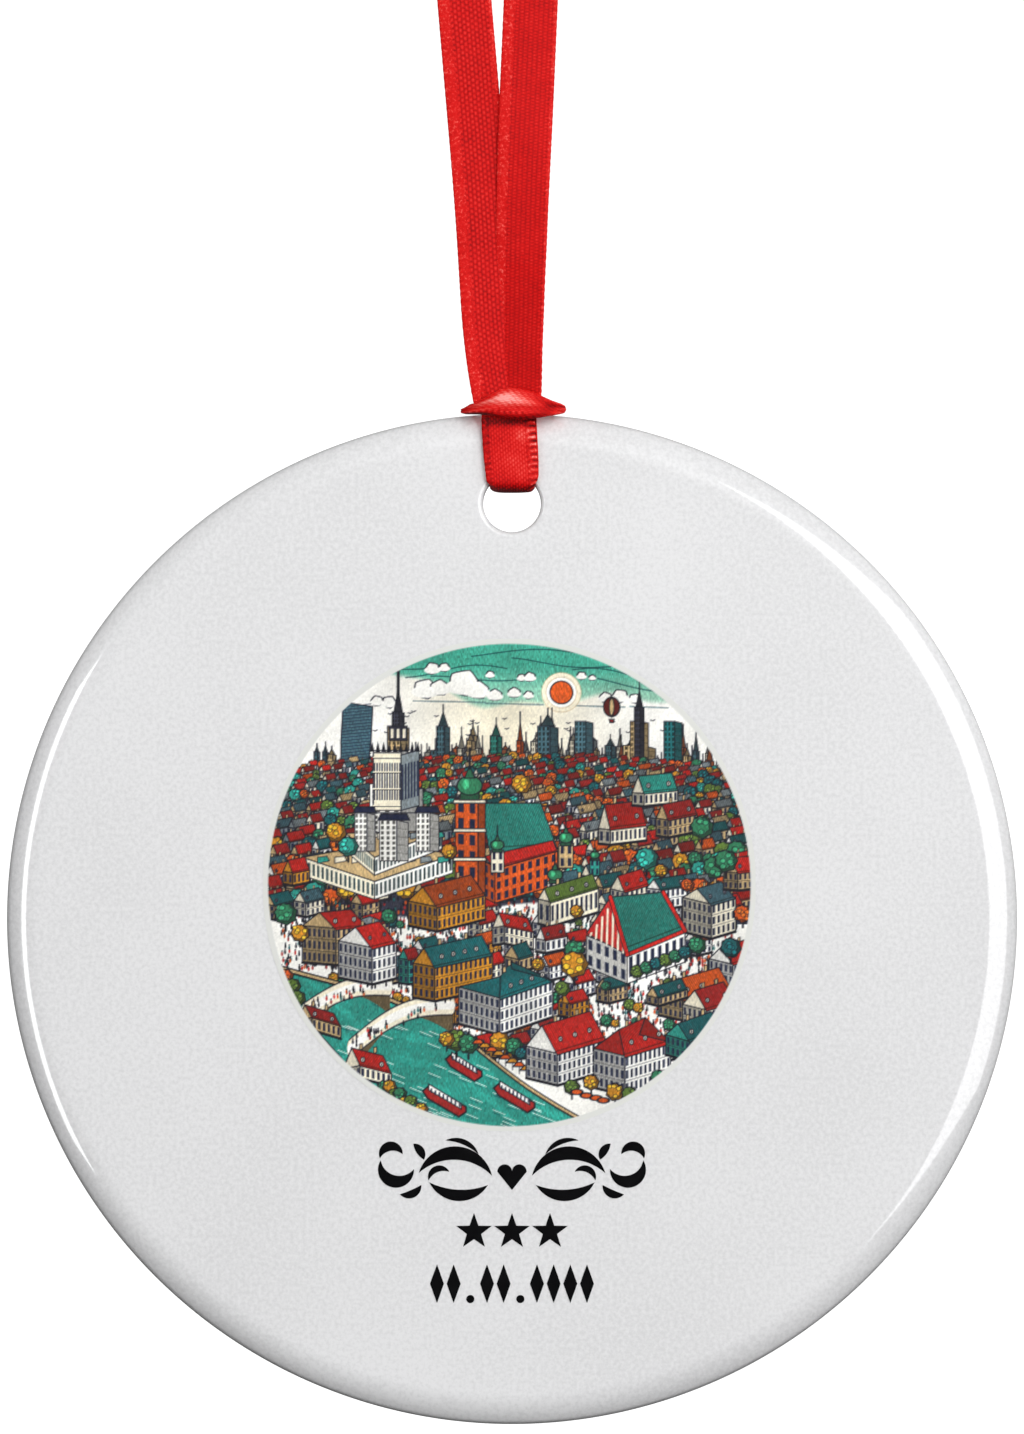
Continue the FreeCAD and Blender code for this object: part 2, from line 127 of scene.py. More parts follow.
# The nodes of a material or a world. use() adds any node: its type, its settings, then its sockets
class Paint:
    def __init__(self, owner, shader="Principled BSDF"):
        owner.use_nodes = True
        self.owner = owner
        self.tree = owner.node_tree
        self.shader = self.tree.nodes[shader]

    def use(self, kind, settings=None, out=0, **sockets):
        node = self.tree.nodes.new("ShaderNode" + kind)
        for name, value in (settings or {}).items():
            if name == "stops":
                fillRamp(node.color_ramp, value)
            else:
                setattr(node, name, value)
        for name, value in sockets.items():
            self.feed(node, name.replace("_", " "), value)
        return Wire(self.tree, node.outputs[out])

    def feed(self, node, name, value):
        wanted = [s for s in node.inputs if s.enabled and s.name.lower() == name.lower()]
        join(self.tree, wanted[0], value)

    def set(self, **sockets):
        for name, value in sockets.items():
            self.feed(self.shader, name.replace("_", " "), value)

    def place(self):
        return self.use("TexCoord", out=3)

    def reading(self, name):
        return self.use("Attribute", {"attribute_name": name}, out=2)

    def noise(self, scale, detail=3.0):
        return self.use("TexNoise", Vector=self.place(), Scale=scale, Detail=detail, Roughness=0.55)

    def mix(self, share, first, second):
        node = self.tree.nodes.new("ShaderNodeMix")
        node.data_type = "RGBA"
        for place, value in ((0, share), (6, first), (7, second)):
            join(self.tree, node.inputs[place], value)
        return Wire(self.tree, node.outputs[2])

    def bump(self, height, distance):
        self.set(Normal=self.use("Bump", Height=height, Distance=distance, Strength=1.0))


def fillRamp(ramp, stops):
    while len(ramp.elements) < len(stops):
        ramp.elements.new(0.5)
    for element, (position, colour) in zip(ramp.elements, stops):
        element.position = position
        element.color = colour


# Screen values from 0 to 1 as linear light: a straight foot, then a power
def linearLight(screen):
    return np.where(screen <= 0.04045, screen / 12.92, ((screen + 0.055) / 1.055) ** 2.4)


# A screen colour from 0 to 255 as the linear colour a socket takes
def shade(red, green, blue):
    return (*linearLight(np.array([red, green, blue]) / 255).tolist(), 1.0)


# Meshes

def meshPiece(name, points, faces, body=None, material=None):
    mesh = bpy.data.meshes.new(name)
    mesh.from_pydata(np.asarray(points, float).reshape(-1, 3).tolist(), [],
                     faces.tolist() if isinstance(faces, np.ndarray) else faces)
    mesh.update()
    mesh.polygons.foreach_set("use_smooth", np.full(len(mesh.polygons), True))
    piece = bpy.data.objects.new(name, mesh)
    bpy.context.scene.collection.objects.link(piece)
    if material:
        mesh.materials.append(material)
    if body:
        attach(piece, body)
    return piece


# Quads of a grid of points, rows by columns, joined end to end where asked.
def gridFaces(rows, columns, closeRows=False, closeColumns=False):
    a = np.arange(rows if closeRows else rows - 1)[:, None]
    b = np.arange(columns if closeColumns else columns - 1)[None, :]
    nextA, nextB = (a + 1) % rows, (b + 1) % columns
    quads = [a * columns + b, nextA * columns + b, nextA * columns + nextB, a * columns + nextB]
    return np.stack(np.broadcast_arrays(*quads), -1).reshape(-1, 4)


# One number for each point, which a material reads by its name
def pointValues(piece, name, values):
    layer = piece.data.attributes.new(name, "FLOAT", "POINT")
    layer.data.foreach_set("value", np.asarray(values, np.float32).ravel())


# From 0 to 1 with level ends: the square times 3 less twice the number
def smoothStep(x):
    x = np.clip(x, 0, 1)
    return x * x * (3 - 2 * x)


# Camera

# Its distance is where the given height at the face just fills the frame
def makeCamera():
    look = {"lens": 150.0, "sensor": 36.0, "high": 107.55 * mm, "up": 15.2 * mm, "near": 0.01, "far": 20}
    data = bpy.data.cameras.new("camera")
    data.lens = look["lens"]
    data.sensor_width = look["sensor"]
    away = look["high"] / 2 / (look["sensor"] / 2 / look["lens"])
    camera = bpy.data.objects.new("camera", data)
    camera.location = (0, faceY - away, discMiddle[2] + look["up"])
    camera.rotation_euler = (math.pi / 2, 0, 0)
    data.clip_start = look["near"]
    data.clip_end = look["far"]
    bpy.context.scene.collection.objects.link(camera)
    bpy.context.scene.camera = camera
    print("camera", round(away, 3), "m in front of the face")


makeCamera()


# Lights, floor and background

studio = {
    "ambient": 0.3, "below": 0.02, "fadeFrom": -0.45, "fadeTo": 0.6, "seen": 1.15,
    "floorDrop": 0.2, "floorRadius": 0.6, "floorCorners": 96, "floorGlow": 0.75,
}
# Name, place and aim from the disc's middle, size, power, and whether the glaze mirrors it
lamps = [
    ("right softbox", (0.37, -0.492, 0.095), (0, -0.227, 0.095), (0.59, 0.62), 1.95, True),
    ("left strip", (-0.46, -0.46, -0.016), (0, 0, -0.016), (0.14, 0.52), 0.8, True),
    ("front", (0.12, -0.58, 0.21), (0, 0, 0), (0.4, 0.3), 2.4, False),
    ("back fill", (0.42, 0.44, 0.2), (0, 0, 0), (0.6, 0.5), 3.2, False),
]


def areaLight(name, place, aim, size, power, mirrored):
    data = bpy.data.lights.new(name, "AREA")
    data.shape = "RECTANGLE"
    data.size, data.size_y = size
    data.energy = power
    light = bpy.data.objects.new(name, data)
    light.location = discMiddle + place
    away = Vector(np.subtract(place, aim))
    light.rotation_euler = away.to_track_quat("Z", "Y").to_euler()
    light.visible_glossy = mirrored
    bpy.context.scene.collection.objects.link(light)


# The background is bright where it is seen, and its light on the object fades from above to below
def makeWorld():
    world = bpy.data.worlds.new("studio")
    bpy.context.scene.world = world
    sky = Paint(world, "Background")
    height = sky.use("SeparateXYZ", out=2, Vector=sky.use("TexCoord"))
    ambient = sky.use("MapRange", Value=height, From_Min=studio["fadeFrom"], From_Max=studio["fadeTo"],
                      To_Min=studio["below"], To_Max=studio["ambient"])
    sky.set(Color=(1, 1, 1, 1), Strength=sky.use("MapRange", Value=sky.use("LightPath"),
                                                 To_Min=ambient, To_Max=studio["seen"]))


# A round sheet below the object, which no bounce or mirror ray sees
def makeFloor():
    count = studio["floorCorners"]
    turn = np.linspace(0, 2 * math.pi, count, endpoint=False)
    radius = studio["floorRadius"]
    low = cadLow[2] - studio["floorDrop"]
    rim = np.stack([radius * np.cos(turn), radius * np.sin(turn), np.full(count, low)], 1)
    ring = np.arange(count)
    faces = np.stack([np.zeros(count, int), 1 + ring, 1 + (ring + 1) % count], 1)
    paint = Paint(bpy.data.materials.new("pale floor"))
    colour = paint.mix(paint.noise(60) * 0.15, shade(240, 240, 239), shade(230, 230, 229))
    paint.set(Base_Color=colour, Roughness=0.7, Emission_Color=(1, 1, 1, 1),
              Emission_Strength=studio["floorGlow"])
    floor = meshPiece("floor", np.vstack([[(0, 0, low)], rim]), faces, material=paint.owner)
    floor.visible_diffuse = False
    floor.visible_glossy = False


makeWorld()
for lamp in lamps:
    areaLight(*lamp)
makeFloor()
view = bpy.context.scene.view_settings
view.view_transform = "Standard"
view.look = "None"
print("studio ready")


# Disc: rings of points round its section, so the whole skin is one closed grid

disc = {
    "shoulderWidth": 2.4 * mm, "shoulderRadius": 3.2 * mm, "holeRadius": 2.18 * mm,
    "holeRound": 0.4 * mm, "around": 360, "faceRings": 14, "ringBeside": 0.003, "shoulderRings": 16,
    "rimRings": 14, "holeRings": 8,
}


# Half the section as (share from hole to shoulder, radius change, depth): the hole's
# round edge is a quarter circle, the face is flat, the shoulder is an arc of the given
# radius and a smaller arc, tangent to it, closes the rim.
def discSection():
    deep = discHigh[1] - discMiddle[1]
    big, wide, edge = disc["shoulderRadius"], disc["shoulderWidth"], disc["holeRound"]
    small = (2 * big * deep - wide**2 - deep**2) / (2 * (big - wide))
    meet = math.atan2(wide - small, big - deep)
    quarter = np.linspace(0, math.pi / 2, disc["holeRings"])
    hole = np.stack([0 * quarter, edge * (1 - np.cos(quarter)), deep - edge + edge * np.sin(quarter)], 1)
    near = disc["ringBeside"]
    share = np.concatenate([[near], np.linspace(0, 1, disc["faceRings"])[1:-1], [1 - near, 1]])
    face = np.stack([share, 0 * share, 0 * share + deep], 1)
    tilt = np.linspace(0, meet, disc["shoulderRings"])[1:]
    shoulder = np.stack([0 * tilt + 1, big * np.sin(tilt), deep - big + big * np.cos(tilt)], 1)
    turn = np.linspace(meet, math.pi / 2, disc["rimRings"])[1:]
    rim = np.stack([0 * turn + 1, wide - small + small * np.sin(turn), small * np.cos(turn)], 1)
    return hole, face, shoulder, rim


# Each ring is a circle. Its centre slides from the hole's centre to the disc's, and its
# radius grows, with the share; the radius change is then added along its own radius.
def makeDisc():
    hole, face, shoulder, rim = discSection()
    edge = disc["holeRound"]
    front = np.vstack([hole, face + [0, edge, 0] * (1 - face[:, :1]), shoulder, rim])
    back = front[::-1][1:] * [1, 1, -1]
    section = np.vstack([front, back])
    share, change, depth = section.T
    centre = holeMiddle + share[:, None] * (discMiddle - holeMiddle)
    inner = disc["holeRadius"]
    outer = discRadius - disc["shoulderWidth"]
    radius = inner + share * (outer - inner) + change
    turn = np.linspace(0, 2 * math.pi, disc["around"], endpoint=False)
    x = centre[:, None, 0] + radius[:, None] * np.cos(turn)
    z = centre[:, None, 2] + radius[:, None] * np.sin(turn)
    y = discMiddle[1] - depth[:, None] + 0 * turn
    faces = gridFaces(len(section), disc["around"], closeRows=True, closeColumns=True)
    piece = meshPiece("glazed_disc", np.stack([x, y, z], -1), faces[:, ::-1], "disc")
    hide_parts("ceramic_disc")
    return piece


glazeLook = {
    "white": shade(237, 237, 238), "grey": shade(224, 224, 225), "greyAt": 0.36, "whiteAt": 0.60,
    "grain": 3300.0, "cloud": 60.0, "dimple": 350.0, "grainShare": 0.75, "rough": 0.2,
    "roughSpread": 0.08, "coatRough": 0.05, "coatIndex": 2.0, "relief": 0.012 * mm,
}


# Fine grain and slow clouds shift the white a little to grey, under a smooth mirroring coat
def glaze():
    paint = Paint(bpy.data.materials.new("white glaze"))
    grain = paint.noise(glazeLook["grain"], 2.0)
    cloud = paint.noise(glazeLook["cloud"])
    tone = grain * glazeLook["grainShare"] + cloud * (1 - glazeLook["grainShare"])
    stops = [(glazeLook["greyAt"], glazeLook["grey"]), (glazeLook["whiteAt"], glazeLook["white"])]
    colour = paint.use("ValToRGB", {"stops": stops}, Fac=tone)
    rough = cloud * glazeLook["roughSpread"] + glazeLook["rough"]
    paint.set(Base_Color=colour, Roughness=rough, Coat_Weight=1.0, IOR=1.5,
              Coat_Roughness=glazeLook["coatRough"], Coat_IOR=glazeLook["coatIndex"])
    paint.bump(grain * 0.4 + paint.noise(glazeLook["dimple"], 2.0) * 0.6, glazeLook["relief"])
    return paint.owner


glazedDisc = makeDisc()
glazedDisc.data.materials.append(glaze())
print("disc", len(glazedDisc.data.polygons), "faces")


# Ribbon

ribbon = {
    "width": 4.1 * mm, "thick": 0.2 * mm, "columns": 22, "step": 0.11 * mm, "evenColumns": 0.55,
    "selvedge": 0.62 * mm, "pucker": 0.03 * mm, "edgeThinning": 0.75, "leftRuffle": 0.012,
}
# Lengths of the waves along the ribbon: two that gather the puckers, one that shifts them,
# and two that sway the whole width
waves = {"gather": (4.3 * mm, 2.9 * mm), "shift": 6.1 * mm, "sway": (9.7 * mm, 5.3 * mm)}
plainRibbon = {
    "puckerLeft": 1.0, "puckerRight": 1.0, "pitch": 0.55 * mm, "seed": 0, "slow": 0.03 * mm,
    "ruffle": 0.012, "curl": None, "glow": (), "shift": 0.0, "light": 0.0,
}


# Points along the route's own smooth spline.
def routeLine(name, route, count=400):
    curve = bpy.data.curves.new(name, "CURVE")
    curve.dimensions = "3D"
    curve.resolution_u = 48
    spline = curve.splines.new("NURBS")
    spline.points.add(len(route) - 1)
    for point, place in zip(spline.points, route):
        point.co = (*place, 1.0)
    spline.order_u = 3
    spline.use_endpoint_u = True
    holder = bpy.data.objects.new(name, curve)
    line = bpy.data.meshes.new_from_object(holder)
    points = np.empty(len(line.vertices) * 3)
    line.vertices.foreach_get("co", points)
    points = points.reshape(-1, 3)
    bpy.data.objects.remove(holder)
    bpy.data.meshes.remove(line)
    return evenly(points, count)


# The same line as count points an equal way apart.
def evenly(points, count):
    way = np.concatenate([[0], np.cumsum(np.linalg.norm(np.diff(points, axis=0), axis=1))])
    wanted = np.linspace(0, way[-1], count)
    return np.stack([np.interp(wanted, way, axis) for axis in points.T], 1)


# The sum of the steps from point to point
def lineLength(points):
    return float(np.linalg.norm(np.diff(points, axis=0), axis=1).sum())


# Vectors divided by their lengths
def unit(vectors):
    return vectors / np.linalg.norm(vectors, axis=-1, keepdims=True)


# A sine along the way, one turn in each pitch
def wave(way, pitch, phase=0.0):
    return np.sin(2 * math.pi * (way / pitch + phase))


# A strip that follows line, its width along across. Each cross-section is a flat loop: front from
# one selvedge to the other and back again. The front and back are moved along the strip's normal
# by puckers at both selvedges, which are sine waves along the ribbon, and by slow uneven waves.
def ribbonPiece(name, line, across, look, wide=1.0):
    look = {**plainRibbon, **look}
    long = lineLength(line)
    count = max(8, round(long / ribbon["step"]))
    way = np.linspace(0, long, count)
    given = np.column_stack([line, across, np.broadcast_to(wide, len(line))])
    spread = np.stack([np.interp(np.linspace(0, 1, count), np.linspace(0, 1, len(line)), column)
                       for column in given.T], 1)
    line, across, wide = spread[:, :3], spread[:, 3:6], spread[:, 6:]
    along = unit(np.gradient(line, axis=0))
    across = unit(across - along * (across * along).sum(1, keepdims=True))
    outward = np.cross(along, across)

    columns = ribbon["columns"]
    even = ribbon["evenColumns"]
    side = (1 - even) * np.sin(np.linspace(-math.pi / 2, math.pi / 2, columns))
    side = side + even * np.linspace(-1, 1, columns)
    fromEdge = (1 - np.abs(side)) * ribbon["width"] / 2
    edging = np.exp(-(fromEdge / ribbon["selvedge"]) ** 4)
    drift = np.random.default_rng(look["seed"]).uniform(0, 1, 8)
    gatherLong, gatherShort = waves["gather"]
    uneven = 0.7 + 0.3 * wave(way, gatherLong, drift[0]) * wave(way, gatherShort, drift[1])
    phase = drift[2] + 0.25 * wave(way, waves["shift"], drift[3])
    ripple = (wave(way, look["pitch"], phase) * uneven)[:, None]
    amount = np.where(side < 0, look["puckerLeft"], look["puckerRight"]) * edging
    swayLong, swayShort = waves["sway"]
    sway = wave(way, swayLong, drift[4])[:, None] * side + 0.6 * wave(way, swayShort, drift[5])[:, None]
    move = ribbon["pucker"] * ripple * amount + look["slow"] * sway
    thin = ribbon["thick"] / 2 * (1 - ribbon["edgeThinning"] * np.abs(side) ** 14)
    ruffle = np.where(side < 0, ribbon["leftRuffle"], look["ruffle"])
    sideways = side * wide * ribbon["width"] / 2 * (1 - ruffle * (0.5 + 0.5 * ripple) * edging)
    base = line[:, None, :] + across[:, None, :] * sideways[..., None]
    if look["curl"] is not None:
        base = base + look["curl"](line)[:, None, None] * np.abs(side)[None, :, None]**4 * (0, 0, 1)
    front = base + outward[:, None, :] * (move + thin)[..., None]
    back = base + outward[:, None, :] * (move - thin)[..., None]
    loop = np.concatenate([front, back[:, ::-1]], 1)

    rows = 2 * columns
    ends = []
    for start in (0, (count - 1) * rows):
        near = start + np.arange(columns)
        far = start + rows - 1 - np.arange(columns)
        ends.append(np.stack([near[:-1], near[1:], far[1:], far[:-1]], 1))
    faces = gridFaces(count, rows, closeColumns=True)
    faces = np.vstack([faces[:, ::-1], ends[0][:, ::-1], ends[1]])
    piece = meshPiece(name, loop, faces)
    acrossMm = sideways / mm + look["shift"]
    pointValues(piece, "across", np.concatenate([acrossMm, acrossMm[:, ::-1]], 1))
    pointValues(piece, "along", np.repeat(way[:, None] / mm, rows, 1))
    # Painted light: the puckers' ripples lighten and darken the colour as painted shading, each spot adds a
    # painted highlight, and a spot of negative strength adds painted shade
    glow = look["light"] * ripple * amount
    for x, z, spotWide, spotHigh, strength in look["glow"]:
        far = ((base[..., 0] / mm - x) / spotWide)**2 + ((base[..., 2] / mm - z) / spotHigh)**2
        glow = glow + strength * np.exp(-far)
    pointValues(piece, "glow", np.concatenate([glow, 0 * glow], 1))
    return piece


# Lengths are in mm along and across the ribbon
plainSatin = {
    "row": 0.19, "dash": 0.36, "dots": 0.5, "twill": 0.4, "tone": 0.30, "hem": 0.2, "speckle": 0.2,
    "stitches": 0.0, "rough": 0.5, "roughSpread": 0.16, "specular": 0.16, "relief": 0.02 * mm,
    "hemFrom": 1.36, "hemTo": 1.46, "stitchAt": 1.42, "stitchPitch": 0.4, "stitchSlant": 1.5,
    "stitchCore": 0.06, "stitchEdge": 0.16, "fuzz": 5200.0, "patch": 520.0,
}
# The satin's colours from dark to pale; painted highlights push the tone to the pale pink end and painted
# shade to the dark end
satinStops = [
    (0.0, shade(92, 0, 2)), (0.22, shade(176, 6, 8)), (0.42, shade(212, 16, 14)),
    (0.62, shade(226, 52, 46)), (0.82, shade(240, 104, 96)), (1.0, shade(250, 160, 154)),
]


# Dyed satin: floats of thread lie in staggered rows, and each is a light dash on the ground, one
# sine along times one sine across. The selvedges are paler and speckled, with a row of stitches.
def satin(name, look):
    look = {**plainSatin, **look}
    paint = Paint(bpy.data.materials.new(name))
    along, across, glow = (paint.reading(word) for word in ("along", "across", "glow"))
    rowPlace = across / look["row"]
    dashPlace = along / look["dash"] + rowPlace.only("FLOOR") * look["twill"]
    inDash = dashPlace.only("FRACT") * math.pi
    inRow = rowPlace.only("FRACT") * math.pi
    thread = inDash.only("SINE") * inRow.only("SINE")
    edge = across.only("ABSOLUTE")
    hem = paint.use("MapRange", Value=edge, From_Min=look["hemFrom"], From_Max=look["hemTo"])
    turns = along * (2 * math.pi / look["stitchPitch"]) + across * look["stitchSlant"]
    stitch = turns.only("SINE") * 0.5 + 0.5
    line = paint.use("MapRange", Value=(edge - look["stitchAt"]).only("ABSOLUTE"), To_Min=1.0,
                     To_Max=0.0, From_Min=look["stitchCore"], From_Max=look["stitchEdge"])
    fuzz = paint.noise(look["fuzz"], 2.0)
    patch = paint.noise(look["patch"])
    streak = paint.use("TexNoise", Vector=paint.use("CombineXYZ", X=along * 0.35, Y=across * 9.0),
                       Scale=1.0, Detail=2.0)
    speckle = paint.use("MapRange", Value=fuzz, From_Min=0.52, From_Max=0.68)
    flat = thread * look["dots"] + (streak - 0.5) * 0.25
    height = flat * (1 - hem) + (speckle * 0.5 + thread * 0.2) * hem
    pits = (1 - stitch) * line * look["stitches"]
    tone = flat * 0.42 * (1 - hem) + hem * (look["hem"] + speckle * look["speckle"])
    # The painted light value lightens and darkens the satin's colour: painted highlights and painted shade
    tone = tone + (patch - 0.5) * 0.2 + (fuzz - 0.5) * 0.34 + glow * 0.5 - pits * 0.4 + look["tone"]
    colour = paint.use("ValToRGB", {"stops": satinStops}, Fac=tone)
    paint.set(Base_Color=colour, Roughness=look["roughSpread"] * fuzz + look["rough"],
              Specular_IOR_Level=look["specular"])
    paint.bump(height - pits, look["relief"])
    return paint.owner


satinSmooth = satin("satin smooth", {"dots": 0.5, "row": 0.36, "dash": 0.24, "twill": 0.5,
                                     "tone": 0.24, "stitches": 0.3})
satinDotted = satin("satin dotted", {"dots": 0.75, "row": 0.3, "dash": 0.42, "twill": 0.5,
                                     "tone": 0.2, "stitches": 0.22, "hem": 0.22})
satinTwill = satin("satin twill", {"dots": 0.55, "row": 0.2, "dash": 0.34, "twill": 0.4,
                                   "stitches": 0.34, "tone": 0.26, "hem": 0.1})
satinBand = satin("satin band", {"dots": 0.5, "row": 0.16, "dash": 0.6, "twill": 0.3, "hem": 0.0,
                                 "speckle": 0.1})
print("materials for the ribbon ready")


# Strands: routes from the top down, in metres

upperLeft = [(-0.0041, 0.0, -0.0040), (-0.00425, -0.0001, -0.0135), (-0.0041, -0.0003, -0.0235),
             (-0.00375, -0.00055, -0.0330)]
upperRight = [(0.0041, 0.0, -0.0040), (0.0035, -0.0003, -0.0135), (0.00255, -0.00065, -0.0235),
              (0.0015, -0.0009, -0.0330)]
lowerLeft = [(-0.00375, -0.00055, -0.0330), (-0.0018, -0.00125, -0.0560),
             (-0.00095, -0.0016, -0.0625), (-0.00035, -0.00192, -0.0653)]
lowerRight = [(0.0015, -0.0009, -0.0330), (0.0005, -0.0017, -0.0560), (0.00012, -0.00205, -0.0625),
              (0.0001, -0.0022, -0.0653)]
# Nearing the hitch each lower strand moves aside, turns edge-on by facing and narrows
strand = {
    "quarterTop": -0.0045, "quarterEnd": -0.0325, "turnTop": 0.042, "turnLong": 0.023,
    "aside": {"left": -0.45 * mm, "right": 0.40 * mm}, "facing": {"left": 0.0, "right": 0.42},
    "narrow": {"left": 0.0, "right": 0.09}, "overlap": 0.3 * mm,
    "upperPucker": 0.8, "lowerPucker": 0.9, "shift": -0.3, "light": 0.1,
}


# Over the branch from under the knot, then down to the strand.
def crownRoute(side):
    return [(0.0, 0.0, 0.00012), (side * 0.0024, 0.0, 0.00012), (side * 0.00415, 0.0, -0.0017)]


# The width's direction: along Y at the crown, and a quarter turn later along X.
def turned(points, side):
    high, low = strand["quarterTop"], strand["quarterEnd"]
    left = 1 - (points[:, 2] - high) / (low - high)
    angle = side * smoothStep(left) * math.pi / 2
    return np.stack([np.cos(angle), np.sin(angle), 0 * angle], 1)


# The same puckers at both selvedges, with painted shading along their ripples by the light value
def strandLook(seed, pucker):
    return {"seed": seed, "puckerLeft": pucker, "puckerRight": pucker, "shift": strand["shift"],
            "light": strand["light"]}


# Each upper strand runs on a little past the lower one's start, so that no seam shows
def makeStrands():
    upper, lower = {}, {}
    for side, word, top, low in ((-1, "left", upperLeft, lowerLeft),
                                 (1, "right", upperRight, lowerRight)):
        cloth = satinSmooth if side > 0 else satinDotted
        line = routeLine(f"upper {word}", crownRoute(side) + top)
        longer = np.vstack([line, line[-1] + unit(line[-1] - line[-2]) * strand["overlap"]])
        piece = ribbonPiece(f"ribbon_{word}_upper", longer, turned(longer, -side),
                            strandLook(3 + side, strand["upperPucker"]))
        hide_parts(f"upper_{word}_strand", *(["loop_crown"] if side < 0 else []))
        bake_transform(piece)
        piece.data.materials.append(cloth)
        upper[word] = (piece, line)

        line = routeLine(f"lower {word}", low)
        share = smoothStep((-line[:, 2] - strand["turnTop"]) / strand["turnLong"])
        line[:, 0] += share**2 * strand["aside"][word]
        facing = strand["facing"][word] * share
        across = np.stack([np.cos(facing), -np.sin(facing), 0 * facing], 1)
        piece = ribbonPiece(f"ribbon_{word}_strand", line, across,
                            strandLook(8 + side, strand["lowerPucker"]),
                            wide=1 - strand["narrow"][word] * share)
        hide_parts(f"{word}_strand")
        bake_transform(piece)
        piece.data.materials.append(cloth)
        lower[word] = (piece, line)
    return upper, lower


upperPieces, lowerPieces = makeStrands()
print("strands ready")


# Hitch: two plies down the front, through the hole and up the back

hitch = {
    "clear": 0.15 * mm, "bend": 0.45 * mm, "bearing": 0.85, "slack": 0.06 * mm, "stop": 0.3 * mm,
    "aside": 0.04 * mm, "lean": (0.25 * mm, 0.04 * mm), "leanHigh": 5.5 * mm,
    "narrow": 0.045, "narrowHigh": 3 * mm, "pinch": 0.13, "pinchHigh": 1.0 * mm,
    "curl": 0.24 * mm, "curlHigh": 0.9 * mm,
}
# The light value paints shading along the plies' pucker ripples: painted lighter and darker bands
plyLook = {"puckerLeft": 0.4, "slow": 0.008 * mm, "pitch": 0.52 * mm, "shift": 0.15, "light": 0.55}
# Painted highlights and painted shade on the plies as (x, z, width, height, strength), in mm; a negative
# strength paints shade, as under the band and at the fold at the bottom
plyPaintedLight = [
    (0, -66.7, 9, 0.3, -0.7), (0.7, -67.6, 0.6, 0.75, 0.65), (0.1, -69.4, 1.3, 1.2, 0.3),
    (0, -72.0, 9, 0.55, -0.95), (-1.95, -69, 0.25, 3, -0.3), (0.9, -70.6, 0.7, 0.6, 0.15),
]


# Down the front, a quarter turn, across the hole, a quarter turn and up the back. The ribbon's
# edges, not its middle, bear on the round hole, so it lies as high as a chord of that width.
def wrapLine(layer):
    middlePly = (layer + 0.5) * ribbon["thick"]
    inside = discHigh[1] + hitch["clear"] + middlePly
    chord = hitch["bearing"] * ribbon["width"] / 2
    bears = math.sqrt(disc["holeRadius"]**2 - chord**2) - hitch["slack"]
    bottom = holeMiddle[2] + bears - middlePly
    bend = hitch["bend"] + middlePly
    quarter = np.linspace(0, math.pi / 2, 14)
    first = np.stack([bend - inside - bend * np.cos(quarter),
                      bottom + bend - bend * np.sin(quarter)], 1)
    second = first[::-1] * [-1, 1]
    line = np.vstack([[(-inside, bandHigh[2] - hitch["stop"])], first, second,
                      [(inside, bandLow[2] + hitch["stop"])]])
    return evenly(np.column_stack([0 * line[:, 0], line]), 400)


# Each ply's edges curl up near the hole, to clear its wall
def plyCurl(foot):
    return lambda at: hitch["curl"] * smoothStep(1 - (at[:, 2] - foot) / hitch["curlHigh"])


# The plies lean aside as they rise, and narrow towards the hole
def makeWrap():
    for layer, name, node in ((0, "wrap_inner_ply", "inner_wrap"), (1, "wrap_outer_ply", "outer_wrap")):
        line = wrapLine(layer)
        foot = line[:, 2].min()
        above = line[:, 2] - foot
        lean = hitch["lean"][0] + layer * hitch["lean"][1]
        line[:, 0] += hitch["aside"] - lean * smoothStep(above / hitch["leanHigh"])
        wide = 1.0 - hitch["narrow"] * smoothStep(1 - above / hitch["narrowHigh"])
        wide = wide - hitch["pinch"] * smoothStep(1 - above / hitch["pinchHigh"])**1.6
        across = np.tile([1.0, 0, 0], (len(line), 1))
        look = {**plyLook, "seed": 20 + layer, "puckerRight": 2.0 * layer + 0.2,
                "ruffle": 0.05 * layer, "glow": plyPaintedLight, "curl": plyCurl(foot)}
        piece = ribbonPiece(name, line, across, look, wide)
        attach(piece, "hitch")
        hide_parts(node)
        piece.data.materials.append(satinTwill)


makeWrap()


band = {
    "around": 460, "section": 44, "frontHalf": 3.66 * mm, "backHalf": 3.0 * mm, "aside": 0.1 * mm,
    "thick": 0.24 * mm, "bulge": 0.62 * mm, "bulgeHalf": 3.2 * mm, "strapHigh": 0.36 * mm,
    "strapLow": 0.4 * mm, "frontEase": 0.35, "crown": 0.22 * mm, "leanWide": 4 * mm,
    "hollow": 0.26 * mm, "lip": 0.12 * mm, "stitch": 0.035 * mm, "stitchPitch": 0.42,
    "stitchEnd": 0.9 * mm, "tip": 3.75 * mm, "tipEase": 0.7 * mm, "foldGlow": 3.5, "rowGlow": 0.4,
}
# The band's front as (x, top, bottom), in mm from the band's middle and the rim's top
bandOutline = [
    (-3.9, 0.16, -0.06), (-3.3, 0.42, -0.12), (-2.6, 0.80, -0.16), (-1.5, 1.38, -0.26),
    (-0.9, 1.70, -0.34), (-0.2, 1.83, -0.44), (0.4, 1.80, -0.52), (1.1, 1.66, -0.54),
    (2.1, 1.26, -0.42), (2.9, 0.90, -0.26), (3.5, 0.72, -0.12), (3.95, 0.42, 0.04),
]
